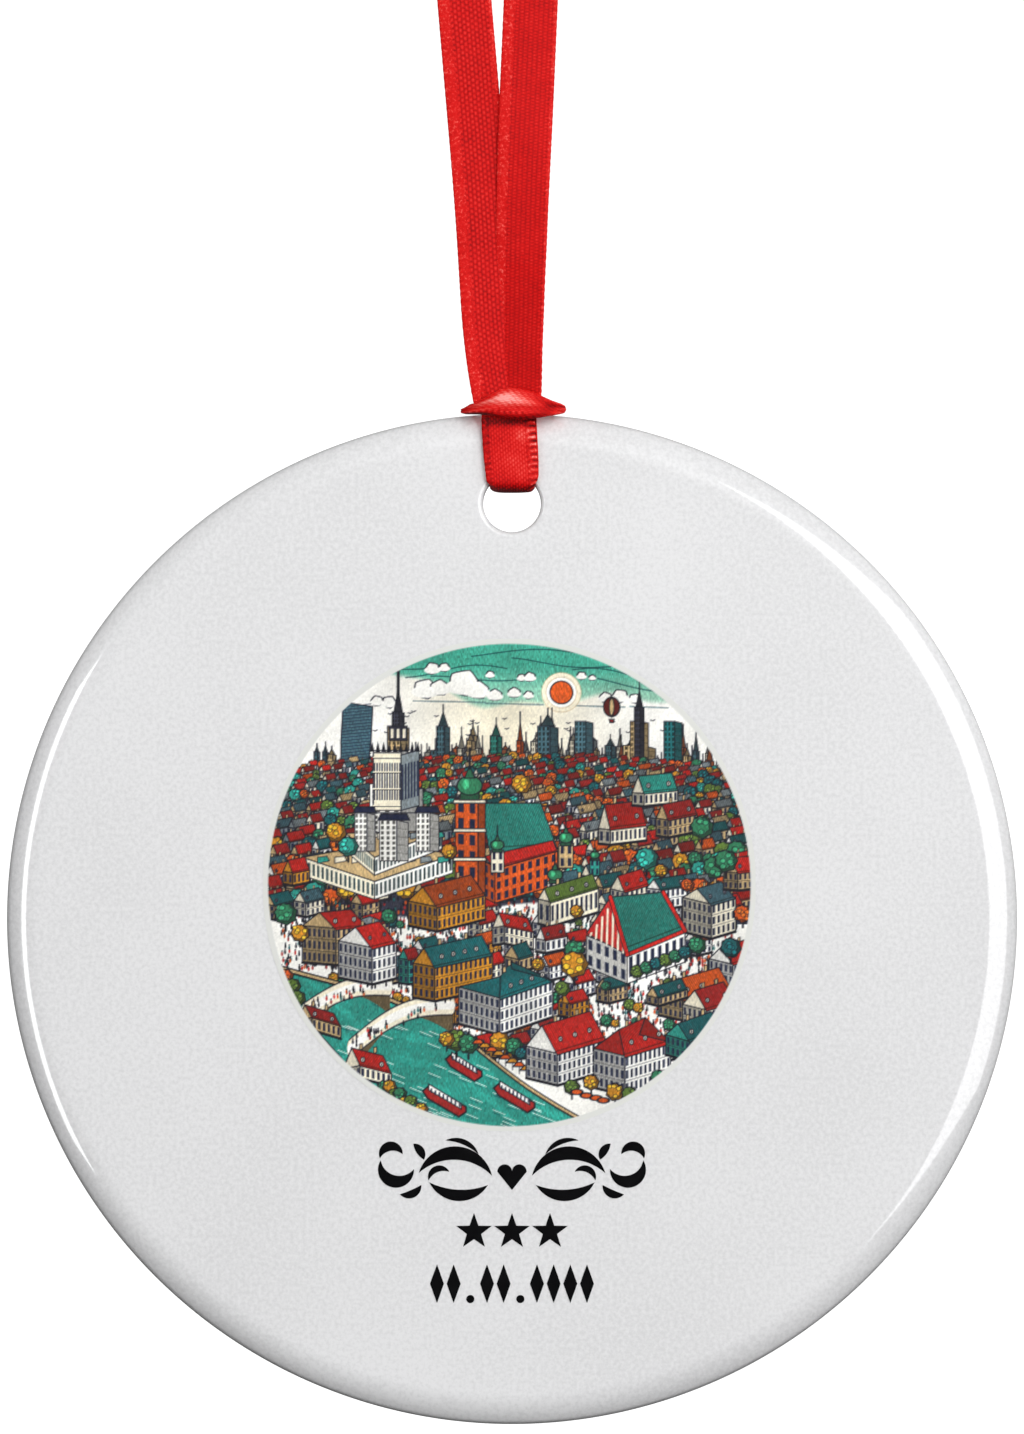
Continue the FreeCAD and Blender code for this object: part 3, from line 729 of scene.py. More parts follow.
# Its painted highlights and painted shade as (x in mm, share of the height, width, height, strength); a
# negative strength paints shade, as in the hollow and along the foot
bandPaintedLight = [
    (-0.5, 0.3, 1.2, 0.5, 1.3), (1.0, 0.25, 0.9, 0.4, 0.5), (-2.4, 0.0, 0.8, 0.5, 0.4),
    (2.75, -0.02, 0.6, 0.3, -0.7), (3.3, -0.6, 0.6, 0.3, 0.9), (3.3, 0.6, 0.5, 0.3, 0.3),
    (1.0, -0.95, 2.2, 0.25, -0.7), (-2.2, -0.8, 1.2, 0.2, -0.5), (-3.6, 0.5, 0.6, 0.5, -0.2),
]


# The cosine or sine with its curve flattened or sharpened by the power, its sign kept
def bent(value, power):
    return np.sign(value) * np.abs(value)**power


# A closed tube round the plies. Seen from above its path is a rounded oblong, wider at the front
# and bulged there. Its section is a flattened loop, as high as the outline says at the front, and
# a narrow strap at the sides and back. Folds are waves across the section that fan out from the
# ends, one end is hollowed under a lip, and a row of stitches is a fine wave near the foot.
def makeBand():
    rimTop = discHigh[2]
    turn = np.linspace(0, 2 * math.pi, band["around"], endpoint=False)
    sin, cos = np.sin(turn), np.cos(turn)
    frontness = smoothStep(cos / band["frontEase"])
    half = band["backHalf"] + (band["frontHalf"] - band["backHalf"]) * frontness
    backY = discHigh[1] + hitch["clear"] + ribbon["thick"]
    frontY = -(backY + ribbon["thick"] + band["thick"] + 0.1 * mm)
    x = band["aside"] + half * bent(sin, 0.7)
    y = (frontY + backY) / 2 - (backY - frontY) / 2 * bent(cos, 0.45)
    y = y - band["bulge"] * np.maximum(0, 1 - (x / band["bulgeHalf"])**2) * frontness
    xs, tops, bottoms = np.array(bandOutline).T * mm
    strapLow = rimTop + band["strapLow"]
    strapTop = strapLow + band["strapHigh"]
    bottom = strapLow + frontness * (rimTop + np.interp(x, xs, bottoms) - strapLow)
    top = strapTop + frontness * (rimTop + np.interp(x, xs, tops) - strapTop)
    middle = (top + bottom) / 2
    high = np.maximum((top - bottom) / 2, 0.05 * mm)
    ahead = np.stack([np.roll(x, -1) - np.roll(x, 1), np.roll(y, -1) - np.roll(y, 1)], 1)
    outward = unit(np.stack([ahead[:, 1], -ahead[:, 0]], 1))

    around = np.linspace(0, 2 * math.pi, band["section"], endpoint=False)
    share = bent(np.sin(around), 0.85)[None, :]
    outShape = bent(np.cos(around), 0.7)[None, :]
    column = x[:, None]
    lean = column / band["leanWide"]
    fold = 0.08 * mm * np.sin(6.5 * share + 2.6 * lean + 0.4) * (0.3 + np.abs(lean))
    fold += 0.06 * mm * np.sin(13.0 * share * (1 - 0.5 * lean) + 1.3) * np.abs(lean)
    fold += 0.03 * mm * np.sin(9.0 * share - 7.0 * lean + 2.2)
    hollow = np.exp(-(((column - 2.75 * mm) / (0.75 * mm))**2 + ((share + 0.05) / 0.3)**2))
    lip = np.exp(-(((column - 2.5 * mm) / (0.9 * mm))**2 + ((share + 0.62) / 0.16)**2))
    row = np.exp(-((share + 0.62) / 0.1)**2) * (column < band["stitchEnd"])
    stitches = row * wave(column, band["stitchPitch"] * mm)
    shaped = fold - band["hollow"] * hollow + band["lip"] * lip + band["stitch"] * stitches
    onTip = smoothStep((band["tip"] - np.abs(x)) / band["tipEase"])
    shaped = shaped * (frontness**2 * onTip)[:, None]
    crown = band["crown"] * np.sqrt(np.maximum(0, 1 - share**2)) * frontness[:, None]
    thick = band["thick"] * (0.7 + 0.3 * frontness[:, None])
    far = thick * outShape + (shaped + crown) * (outShape > 0)
    points = np.stack([column + outward[:, :1] * far, y[:, None] + outward[:, 1:] * far,
                       middle[:, None] + high[:, None] * share], -1)
    faces = gridFaces(band["around"], band["section"], closeRows=True, closeColumns=True)
    piece = meshPiece("ribbon_band", points, faces, "hitch")

    along = column / mm + 0 * share
    height = share + 0 * lean
    # Painted light on the front only: the stitch row and the folds lighten and darken the colour as painted
    # shading, and the spots add painted highlights and painted shade
    glow = band["rowGlow"] * row * (0.1 + wave(along, band["stitchPitch"]))
    glow = glow + band["foldGlow"] * fold / mm * (0.4 + np.abs(lean))
    for at, level, wide, tall, strength in bandPaintedLight:
        glow = glow + strength * np.exp(-(((along - at) / wide)**2 + ((height - level) / tall)**2))
    pointValues(piece, "along", along)
    pointValues(piece, "across", 1.3 * height + 0.25 * along)
    pointValues(piece, "glow", glow * (frontness**2)[:, None] * (outShape > 0))
    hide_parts("hitch_band")
    piece.data.materials.append(satinBand)


makeBand()
print("hitch ready")


# Knot and tails above the loop

knotLook = {
    "rows": 58, "columns": 120, "round": 0.82, "ridge": 0.12, "wrap": 0.06, "foot": 1.02,
    "head": 0.85, "weave": 2.4, "weaveWide": 3.4,
}


# A lump with wrapped folds: an egg whose radius has ridges that wind round it aslant, closed by a
# fan of triangles at its foot and its head
def makeKnot():
    low, high = (np.array(corner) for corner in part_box("end_knot"))
    middle, half = (low + high) / 2, (high - low) / 2
    rows, columns = knotLook["rows"], knotLook["columns"]
    lift = np.linspace(-math.pi / 2, math.pi / 2, rows + 2)[1:-1, None]
    turn = np.linspace(0, 2 * math.pi, columns, endpoint=False)[None, :]
    ridge = np.abs(np.sin(1.5 * lift + 0.5 * np.sin(turn) + 1.1))**0.6
    wrap = np.abs(np.sin(2.0 * lift * np.cos(turn * 0.5)**2 + turn))**0.5
    radius = knotLook["round"] + knotLook["ridge"] * ridge + knotLook["wrap"] * wrap
    radius = radius + (knotLook["foot"] - radius) * smoothStep((-lift - 0.9) / 0.5)
    ball = np.stack([half[0] * np.cos(lift) * np.cos(turn), half[1] * np.cos(lift) * np.sin(turn),
                     half[2] * np.sin(lift) + 0 * turn], -1) * radius[..., None]
    poles = half[2] * np.array([[0, 0, -knotLook["foot"]], [0, 0, knotLook["head"]]])
    points = middle + np.vstack([ball.reshape(-1, 3), poles])
    ring = np.arange(columns)
    after = (ring + 1) % columns
    foot = np.full(columns, rows * columns)
    last = (rows - 1) * columns
    faces = gridFaces(rows, columns, closeColumns=True)[:, ::-1].tolist()
    faces += np.stack([foot, after, ring], 1).tolist()
    faces += np.stack([foot + 1, last + ring, last + after], 1).tolist()
    piece = meshPiece("ribbon_knot", points, faces, "loop")
    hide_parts("end_knot")
    wide = knotLook["weave"] * (turn + 0 * lift).ravel()
    tall = knotLook["weave"] * (lift + 0 * turn).ravel()
    tall = np.mod(np.append(tall, [0, 0]), knotLook["weaveWide"]) - knotLook["weaveWide"] / 2
    pointValues(piece, "along", np.append(wide, [0, 0]))
    pointValues(piece, "across", tall)
    piece.data.materials.append(satinSmooth)
    return piece


tail = {
    "spread": math.radians(13), "foot": (0.3 * mm, 0.1 * mm, 2.6 * mm), "short": 1.1 * mm,
    "outward": 0.4 * mm, "wag": 0.5 * mm, "slow": 0.06 * mm, "points": 60,
}


# A tail leans out from the knot: a straight line bent outwards by a square and wagged by a sine
def makeTails():
    pieces = []
    for side, word in ((-1, "left"), (1, "right")):
        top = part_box(f"{word}_tail")[1][2]
        lean = tail["spread"] * side
        share = np.linspace(0, 1, tail["points"])
        footX, footY, footZ = tail["foot"]
        length = (top - footZ) / math.cos(lean) - tail["short"]
        x = side * footX + share * length * math.sin(lean) + side * tail["outward"] * share**2
        y = side * footY - side * tail["wag"] * np.sin(share * math.pi * 1.3) * share
        z = footZ + share * length * math.cos(lean)
        across = np.tile([math.cos(lean), 0, -math.sin(lean)], (tail["points"], 1))
        piece = ribbonPiece(f"ribbon_{word}_tail", np.stack([x, y, z], 1), across,
                            {"seed": 30 + side, "slow": tail["slow"]})
        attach(piece, "loop")
        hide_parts(f"{word}_tail")
        piece.data.materials.append(satinSmooth)
        pieces.append(piece)
    return pieces


knot = makeKnot()
tails = makeTails()
for word, (piece, line) in upperPieces.items():
    [knot, *tails] if word == "left" else []
print("knot ready")


# The printed picture: an invented town in ink and wash, painted on a numpy canvas.
# Its units are the picture's radius, u to the right and v up.

def tint(red, green, blue):
    return np.array([red, green, blue]) / 255


wash = {
    "ink": tint(24, 26, 44), "sea": tint(60, 172, 158), "deep": tint(28, 112, 116),
    "red": tint(214, 46, 40), "brick": tint(178, 44, 44), "orange": tint(228, 108, 42),
    "mustard": tint(222, 160, 52), "cream": tint(246, 239, 218), "white": tint(248, 247, 242),
    "grey": tint(148, 158, 162), "slate": tint(84, 122, 134), "olive": tint(112, 140, 66),
    "leaf": tint(62, 140, 104), "sand": tint(214, 188, 142), "navy": tint(34, 44, 78),
}


pen = {"line": 0.0045, "fine": 0.0035}


class Canvas:
    def __init__(self, size, reach):
        self.size = size
        self.reach = reach
        self.cell = 2 * reach / size
        self.paint = np.ones((size, size, 3))
        self.chance = np.random.default_rng(11)

    def pick(self, choices):
        return choices[self.chance.integers(len(choices))]

    def between(self, low, high):
        return self.chance.uniform(low, high)

    # The part of the canvas round a box, with its u and v.
    def window(self, low, high):
        spans = [((x - 0.012 + self.reach) / self.cell, (y + 0.012 + self.reach) / self.cell)
                 for x, y in zip(low, high)]
        columns, rows = (slice(*(int(np.clip(x, 0, self.size)) for x in span)) for span in spans)
        u = (np.arange(columns.start, columns.stop) + 0.5) * self.cell - self.reach
        v = (np.arange(rows.start, rows.stop) + 0.5) * self.cell - self.reach
        return (rows, columns), u[None, :], v[:, None]

    # Fill where the distance to the shape's edge is below zero, then ink the edge.
    def lay(self, where, distance, colour, line=0.0, ink=None):
        spot = self.paint[where]
        spot += (colour - spot) * np.clip(0.5 - distance / self.cell, 0, 1)[..., None]
        if line:
            near = np.clip(0.5 + (line / 2 - np.abs(distance)) / self.cell, 0, 1)[..., None]
            spot += ((wash["ink"] if ink is None else ink) - spot) * near

    # A convex shape: its distance is the greatest of the distances past its edges.
    def shape(self, corners, colour, line=pen["line"]):
        corners = np.array(corners, float)
        ahead = np.roll(corners, -1, 0) - corners
        turn = np.sign((ahead[:, 0] * np.roll(ahead[:, 1], -1)
                        - ahead[:, 1] * np.roll(ahead[:, 0], -1)).sum())
        where, u, v = self.window(corners.min(0), corners.max(0))
        distance = -1.0 + 0 * u * v
        for (x, y), (dx, dy) in zip(corners, ahead):
            past = turn * ((u - x) * dy - (v - y) * dx) / (math.hypot(dx, dy) + 1e-9)
            distance = np.maximum(distance, past)
        self.lay(where, distance, colour, line)

    # A straight stroke with round ends: the distance is that to the nearest point of a-b
    def stroke(self, a, b, width, colour=None):
        where, u, v = self.window(np.minimum(a, b), np.maximum(a, b))
        dx, dy = b[0] - a[0], b[1] - a[1]
        share = np.clip(((u - a[0]) * dx + (v - a[1]) * dy) / (dx * dx + dy * dy + 1e-9), 0, 1)
        distance = np.hypot(u - a[0] - share * dx, v - a[1] - share * dy) - width / 2
        self.lay(where, distance, wash["ink"] if colour is None else colour)

    # An oval, its edge scalloped into bumps where asked
    def oval(self, x, y, wide, high, colour, line=pen["line"], bumps=0, ink=None):
        where, u, v = self.window((x - wide, y - high), (x + wide, y + high))
        across, up = (u - x) / wide, (v - y) / high
        scallop = np.abs(np.cos(np.arctan2(up, across) * bumps / 2 + x * 40)) * (bumps > 0)
        distance = (np.hypot(across, up) - 1 + 0.13 * scallop) * min(wide, high)
        self.lay(where, distance, colour, line, ink)

    # A wall that stands on a-b with a grid of windows.
    def wall(self, a, b, tall, colour, columns, rows, glass=None, line=0.004):
        self.shape([a, b, (b[0], b[1] + tall), (a[0], a[1] + tall)], colour, line)
        where, u, v = self.window((a[0], min(a[1], b[1])), (b[0], max(a[1], b[1]) + tall))
        along = (u - a[0]) / (b[0] - a[0] + 1e-9)
        up = (v - a[1] - along * (b[1] - a[1])) / tall
        cellX = np.abs(np.mod(along * columns, 1) - 0.5)
        cellY = np.abs(np.mod(up * rows, 1) - 0.5)
        distance = np.maximum((cellX - 0.24) * (b[0] - a[0]) / columns, (cellY - 0.32) * tall / rows)
        outside = np.maximum(np.abs(along - 0.5), np.abs(up - 0.5)) > 0.5
        self.lay(where, np.where(outside, 1.0, distance), wash["navy"] if glass is None else glass)

    # A slope with rows of tiles, and a shadow along its eaves
    def roof(self, corners, colour, lines=6, line=pen["line"]):
        self.shape(corners, colour, line)
        a, b, c, d = np.array(corners, float)
        for share in np.linspace(0, 1, 2 * lines + 2)[1:-1]:
            self.stroke(a + share * (b - a), d + share * (c - d), 0.4 * line, colour * 0.55)
        self.stroke(a + 0.12 * (d - a), b + 0.12 * (c - b), line, colour * 0.5)

    # Two walls from the near corner, the ridge along the right one, chimneys and dormers.
    def house(self, x, y, left, right, tall, top, wallColour, roofColour, slope, rows, hip=0.0):
        a, b = np.array([x - left, y + left * slope * 0.8]), np.array([x, y])
        c, lift = np.array([x + right, y + right * slope]), np.array([0, tall])
        line = pen["line"] * min(1.0, 0.35 + right / 0.1)
        self.stroke(a - (0, 0.004), b - (0, 0.004), 2.2 * line)
        self.stroke(b - (0, 0.004), c - (0, 0.004), 2.2 * line)
        self.wall(a, b, tall, wallColour * 0.72, max(2, round(left / 0.02)), rows, line=line)
        self.wall(b, c, tall, wallColour, max(2, round(right / 0.02)), rows, line=line)
        for level in np.arange(rows) / rows * tall:
            self.stroke(a + (0, level), b + (0, level), 0.35 * line)
            self.stroke(b + (0, level), c + (0, level), 0.35 * line)
        a, b, c = a + lift, b + lift, c + lift
        far = a + c - b
        first = (a + b) / 2 + (hip * (c - a) / 2) + (0, top)
        second = (c + far) / 2 - (hip * (c - a) / 2) + (0, top)
        self.shape([a, b, first], roofColour * 0.8 if hip else wallColour * 0.9, line)
        out = np.array([0, 0.05 * tall])
        self.roof([b - out, c - out, second, first], roofColour, max(2, round(right / 0.016)), line)
        if hip:
            self.shape([c, far, second], roofColour * 0.7)
        small = min(1.0, right / 0.13)
        if right > 0.07:
            for share in np.linspace(0.2, 0.8, max(1, round(right / 0.06))):
                spot = b + share * (c - b) + 0.42 * (first - b)
                self.oval(*spot, 0.008 * small, 0.010 * small, wash["cream"], pen["fine"])
                self.oval(*spot, 0.003, 0.005 * small, wash["navy"], 0)
        for share in (0.25, 0.7)[:1 + (right > 0.05)]:
            foot = first + share * (second - first)
            chimney = np.array([(0, 0), (0.012, 0.004), (0.012, 0.026), (0, 0.024)]) * small
            self.shape(foot + chimney, wash["sand"], 0.003 * small)

    # A trunk, a dark crown, a lighter one inside it and scattered tufts
    def tree(self, x, y, size, colour):
        line = min(0.0042, 0.14 * size)
        self.stroke((x, y - size), (x, y - 1.4 * size), 0.2 * size, wash["ink"])
        self.oval(x, y, size, size * 0.95, colour * 0.62, line, 7)
        self.oval(x - 0.12 * size, y + 0.12 * size, 0.8 * size, 0.78 * size, colour, 0.6 * line, 9)
        for _ in range(5):
            dx, dy = self.chance.uniform(-0.6, 0.5, 2) * size
            self.oval(x + dx, y + dy + 0.1 * size, 0.26 * size, 0.22 * size,
                      np.clip(colour * 1.32, 0, 1), 0.5 * line, 5)

    def plant(self, spots):
        for x, y, size, kind in spots:
            self.tree(x, y, size, wash[kind])

    # Passers-by, scattered along a street
    def people(self, a, b, wide, count):
        coats = [wash["ink"]] * 4 + [wash["red"], wash["deep"], wash["brick"], wash["orange"]]
        for share, side, pick in self.chance.uniform(0, 1, (count, 3)):
            x = a[0] + share * (b[0] - a[0])
            y = a[1] + share * (b[1] - a[1]) + (side - 0.5) * wide
            self.oval(x, y, 0.0042, 0.0085, coats[int(pick * 8)], 0)
            self.oval(x, y + 0.0115, 0.003, 0.003, wash["ink"], 0)

    # A tall block with a lit side, a shaded side, fine lines and perhaps a spire.
    def tower(self, x, low, wide, high, colour, cap=None, lines=7):
        half = wide / 2
        self.wall((x - half, low), (x + 0.2 * half, low), high - low, colour, 3,
                  max(4, round((high - low) / 0.022)), colour * 0.36, pen["fine"])
        self.shape([(x + 0.2 * half, low), (x + half, low), (x + half, high - 0.2 * half),
                    (x + 0.2 * half, high)], colour * 0.7, pen["fine"])
        for share in np.linspace(0, 1, lines)[1:-1]:
            level = low + share * (high - low)
            self.stroke((x + 0.2 * half, level), (x + half, level - 0.1 * half), 0.002, colour * 0.4)
        if cap is not None:
            self.shape([(x - 0.7 * half, high), (x + 0.7 * half, high), (x, high + cap)],
                       colour * 0.6, pen["fine"])
            self.stroke((x, high + cap * 0.8), (x, high + cap * 1.5), 0.005)

    # An onion dome on a small drum, with a ball and a needle.
    def dome(self, x, y, size, colour):
        self.shape([(x - 0.8 * size, y - 0.9 * size), (x + 0.8 * size, y - 0.9 * size),
                    (x + 0.7 * size, y - 0.2 * size), (x - 0.7 * size, y - 0.2 * size)], colour * 0.7)
        self.oval(x, y + 0.25 * size, size, 0.75 * size, colour)
        self.oval(x - 0.3 * size, y + 0.35 * size, 0.25 * size, 0.4 * size,
                  np.clip(colour * 1.5, 0, 1), 0)
        self.shape([(x - 0.4 * size, y + 0.85 * size), (x + 0.4 * size, y + 0.85 * size),
                    (x, y + 1.9 * size)], colour * 0.85)
        self.stroke((x, y + 1.6 * size), (x, y + 3.2 * size), 0.18 * size)


# Teal with dark swirls above, then a pale band that fades to the paper.
def paintSky(art):
    where, u, v = art.window((-1, 0.3), (1, 1))
    swirl = v + 0.02 * np.sin(7 * u + 2) + 0.014 * np.sin(17 * u - 3 * v)
    edge = 0.765 + 0.22 * np.maximum(0, -u - 0.1)
    share = smoothStep((swirl - edge + 0.02 * np.sin(3 * u + 1)) / 0.03)[..., None]
    sky = tint(84, 188, 166) * (1 + 0.05 * np.sin(26 * v + 5 * u)[..., None])
    sky = sky + (wash["cream"] - sky) * 0.5 * smoothStep((0.93 - v) / 0.16)[..., None]
    warm = wash["cream"] + (wash["white"] - wash["cream"]) * smoothStep(np.abs(u) / 0.6)[..., None]
    art.paint[where] = warm + (sky - warm) * share
    for height, phase, lean in ((0.965, 0.4, 4), (0.93, 2.0, 5), (0.9, 3.3, 6), (0.865, 5.1, 5)):
        x = np.linspace(-0.62, 0.62, 60)
        y = height + 0.016 * np.sin(lean * x * 2 + phase) - 0.12 * x**2
        for k in range(len(x) - 1):
            if math.sin(9 * x[k] + phase * 3) > -0.35:
                art.stroke((x[k], y[k]), (x[k + 1], y[k + 1]), pen["line"], wash["deep"] * 0.8)
    puffs = [(-0.35, 0.815, 0.05), (-0.29, 0.82, 0.04), (-0.19, 0.84, 0.066), (-0.13, 0.81, 0.045),
             (-0.06, 0.79, 0.03), (0.02, 0.8, 0.026), (0.08, 0.79, 0.02), (-0.5, 0.76, 0.03),
             (-0.55, 0.765, 0.026), (0.46, 0.785, 0.034), (0.4, 0.78, 0.026), (0.52, 0.775, 0.024),
             (-0.32, 0.9, 0.03), (-0.27, 0.905, 0.022), (0.085, 0.865, 0.024), (0.05, 0.862, 0.018),
             (0.3, 0.87, 0.02), (0.345, 0.862, 0.014), (-0.08, 0.875, 0.018)]
    for x, y, size in puffs:
        art.oval(x, y, size, size * 0.85, wash["white"], pen["line"], 5)
    for x, y, size in puffs:
        art.oval(x, y - 0.25 * size, size * 1.15, size * 0.5, wash["white"], 0)
    for x, y, long in ((-0.4, 0.765, 0.3), (-0.1, 0.755, 0.24), (0.28, 0.745, 0.2), (0.5, 0.742, 0.16)):
        art.stroke((x, y), (x + long, y - 0.006), 0.004, wash["slate"])
    for size, colour in ((0.082, wash["cream"]), (0.064, wash["white"])):
        art.oval(0.216, 0.8, size, size, colour, 0.002, ink=wash["sand"])
    art.oval(0.216, 0.8, 0.047, 0.047, wash["orange"], 0.005)
    art.oval(0.425, 0.74, 0.034, 0.04, wash["brick"] * 0.6)
    art.oval(0.425, 0.74, 0.01, 0.038, wash["sand"], 0.003)
    art.shape([(0.415, 0.688), (0.435, 0.688), (0.432, 0.675), (0.418, 0.675)], wash["brick"])
    for x, y in art.chance.uniform((-0.6, 0.62), (0.66, 0.72), (26, 2)):
        art.stroke((x - 0.008, y + 0.003), (x, y), pen["fine"])
        art.stroke((x, y), (x + 0.009, y + 0.004), pen["fine"])


# Two rows of towers: thin ones by chance, then larger ones at given places
def paintSkyline(art):
    colours = [wash["sand"], wash["grey"], wash["cream"] * 0.9, wash["slate"],
               wash["orange"] * 0.8 + 0.16]
    for x in np.linspace(-0.84, 0.86, 84):
        low, high = 0.40, art.between(0.5, 0.66) - 0.1 * abs(x)
        art.tower(x + art.between(-0.01, 0.01), low, art.between(0.022, 0.04), high,
                  art.pick(colours), art.between(0.01, 0.07))
    art.shape([(-0.7, 0.4), (-0.585, 0.4), (-0.575, 0.6), (-0.56, 0.74), (-0.69, 0.76), (-0.7, 0.6)],
              wash["slate"])
    for level in np.linspace(0.42, 0.74, 26):
        art.stroke((-0.695, level), (-0.575, level + 0.012), 0.0028, wash["navy"])
    for x, wide, high, colour, cap in (
            (-0.275, 0.10, 0.56, wash["slate"], None), (-0.275, 0.055, 0.66, wash["slate"], 0.06),
            (-0.055, 0.05, 0.62, wash["sea"] * 0.9, 0.05), (0.16, 0.085, 0.66, wash["slate"], 0.05),
            (0.31, 0.075, 0.68, wash["slate"] * 1.15, None), (0.54, 0.135, 0.58, wash["sand"], None),
            (0.54, 0.075, 0.68, wash["sand"], None), (0.54, 0.04, 0.74, wash["ink"] + 0.16, 0.07),
            (0.68, 0.075, 0.68, wash["deep"] * 1.2, None), (-0.16, 0.035, 0.6, wash["sand"], 0.03),
            (0.045, 0.03, 0.6, wash["orange"] * 0.9, 0.08), (0.42, 0.045, 0.58, wash["slate"], 0.03)):
        art.tower(x, 0.36, wide, high, colour, cap, 12)


# Row upon row of small roofs and trees, each nearer row larger and lower.
def paintFarTown(art):
    roofs = [wash["red"]] * 3 + [wash["brick"]] * 3 + [wash["orange"], wash["sand"]]
    roofs += [wash["deep"], wash["slate"], wash["grey"]]
    walls = [wash["cream"], wash["sand"], wash["white"], wash["cream"], wash["grey"]]
    trees = [wash["leaf"], wash["olive"], wash["mustard"], wash["deep"], wash["orange"], wash["sea"]]
    where, u, v = art.window((-1, -0.15), (1, 0.5))
    art.lay(where, v - 0.5 + 0.06 * u * u, wash["ink"] + 0.16)
    level = 0.505
    while level > -0.1:
        size = 0.03 + 0.08 * (0.52 - level)
        x = -1.0 + art.between(0, size)
        while x < 1.0:
            y = level + art.between(-0.3, 0.3) * size - 0.06 * x * x
            pick = art.chance.uniform()
            if pick < 0.5:
                art.tree(x, y + 0.8 * size, size * art.between(0.5, 0.85),
                         art.pick(trees))
                x += size * 0.9
            else:
                roofColour = art.pick(roofs) * art.between(0.8, 1.05)
                art.house(x, y, size * 0.55, size * art.between(0.8, 1.5), size * 0.7,
                          size * 0.62, art.pick(walls), roofColour, 0.2, 1)
                x += size * 1.45
        level -= size * 0.72


# A tall hall with a spire and two arcades before it, then a domed church and a few small domes
def paintLandmarks(art):
    white, cream = wash["white"], wash["cream"]
    for x, low, wide, high in ((-0.47, 0.1, 0.22, 0.42), (-0.47, 0.3, 0.19, 0.56)):
        art.tower(x, low, wide, high, white * 0.96, None, 4)
    art.wall((-0.565, 0.31), (-0.45, 0.31), 0.24, cream, 11, 1, wash["navy"])
    for level in (0.33, 0.4, 0.47, 0.53):
        art.stroke((-0.565, level), (-0.45, level), 0.006, cream)
        art.stroke((-0.565, level - 0.004), (-0.375, level - 0.004), 0.003)
    art.wall((-0.45, 0.31), (-0.375, 0.33), 0.23, wash["grey"], 6, 1, wash["navy"])
    art.tower(-0.462, 0.56, 0.09, 0.66, wash["sand"], None, 5)
    art.wall((-0.5, 0.6), (-0.425, 0.6), 0.06, wash["ink"] + 0.12, 3, 1, cream)
    art.tower(-0.462, 0.66, 0.05, 0.72, wash["ink"] + 0.2, 0.1, 4)
    art.stroke((-0.462, 0.78), (-0.462, 0.94), 0.012)
    for x in np.linspace(-0.57, -0.38, 9):
        art.shape([(x - 0.008, 0.555), (x + 0.008, 0.555), (x, 0.59)], wash["ink"], 0.002)
    for y, left, right, far in ((-0.01, -0.86, -0.235, 0.15), (0.09, -0.68, -0.28, 0.09)):
        middle = -0.56
        art.wall((left, y + 0.05), (middle, y - 0.05), 0.075, cream, 16, 1, wash["slate"] * 0.7)
        art.wall((middle, y - 0.05), (right, y + 0.06), 0.075, white, 18, 1, wash["slate"] * 0.6)
        art.shape([(left, y + 0.125), (middle, y + 0.025), (right, y + 0.135), (-0.5, y + far + 0.04)],
                  wash["sand"])
        for share in np.linspace(0.1, 0.9, 8):
            x = left + share * (right - left)
            art.shape([(x, y + 0.1), (x + 0.05, y + 0.11), (x + 0.04, y + 0.13), (x, y + 0.125)],
                      (cream, wash["grey"], wash["sea"])[int(share * 29) % 3], 0.003)
    for x, low, wide, high in ((-0.6, 0.14, 0.085, 0.3), (-0.34, 0.14, 0.095, 0.3), (-0.48, 0.1, 0.12, 0.27)):
        art.tower(x, low, wide, high, white, None, 6)
        art.shape([(x - wide * 0.55, high), (x + wide * 0.55, high), (x + wide * 0.45, high + 0.025),
                   (x - wide * 0.45, high + 0.025)], wash["navy"])
    art.shape([(-0.87, -0.02), (-0.58, -0.13), (-0.22, -0.01), (-0.23, -0.04), (-0.58, -0.17)],
              wash["grey"] * 0.9)
    church = wash["orange"]
    art.roof([(-0.08, 0.13), (0.2, 0.15), (0.13, 0.34), (-0.12, 0.34)], wash["sea"] * 0.92, 18)
    art.wall((-0.06, -0.075), (0.2, 0.0), 0.14, church, 8, 3)
    art.wall((-0.13, -0.04), (-0.06, -0.075), 0.15, church * 0.84, 3, 3)
    art.roof([(-0.065, 0.065), (0.2, 0.14), (0.18, 0.185), (-0.1, 0.12)], wash["red"], 12)
    art.wall((-0.225, -0.04), (-0.13, -0.05), 0.4, church, 2, 6)
    art.shape([(-0.13, -0.05), (-0.1, -0.03), (-0.1, 0.35), (-0.13, 0.35)], church * 0.7)
    for level in (0.1, 0.22, 0.34):
        art.shape([(-0.235, level), (-0.095, level), (-0.1, level + 0.014), (-0.23, level + 0.014)],
                  cream)
    art.dome(-0.165, 0.4, 0.052, wash["leaf"])
    for x, y, size, body in ((-0.05, 0.16, 0.027, cream), (0.235, 0.19, 0.03, wash["sand"]),
                             (0.19, 0.035, 0.032, cream), (0.355, 0.12, 0.02, wash["sea"])):
        art.wall((x - size, y - 4 * size), (x + size, y - 4 * size), 3.4 * size, body, 2, 2)
        art.dome(x, y, size, wash["leaf"])
    art.house(0.17, -0.17, 0.05, 0.2, 0.1, 0.05, cream, wash["olive"], 0.3, 1)


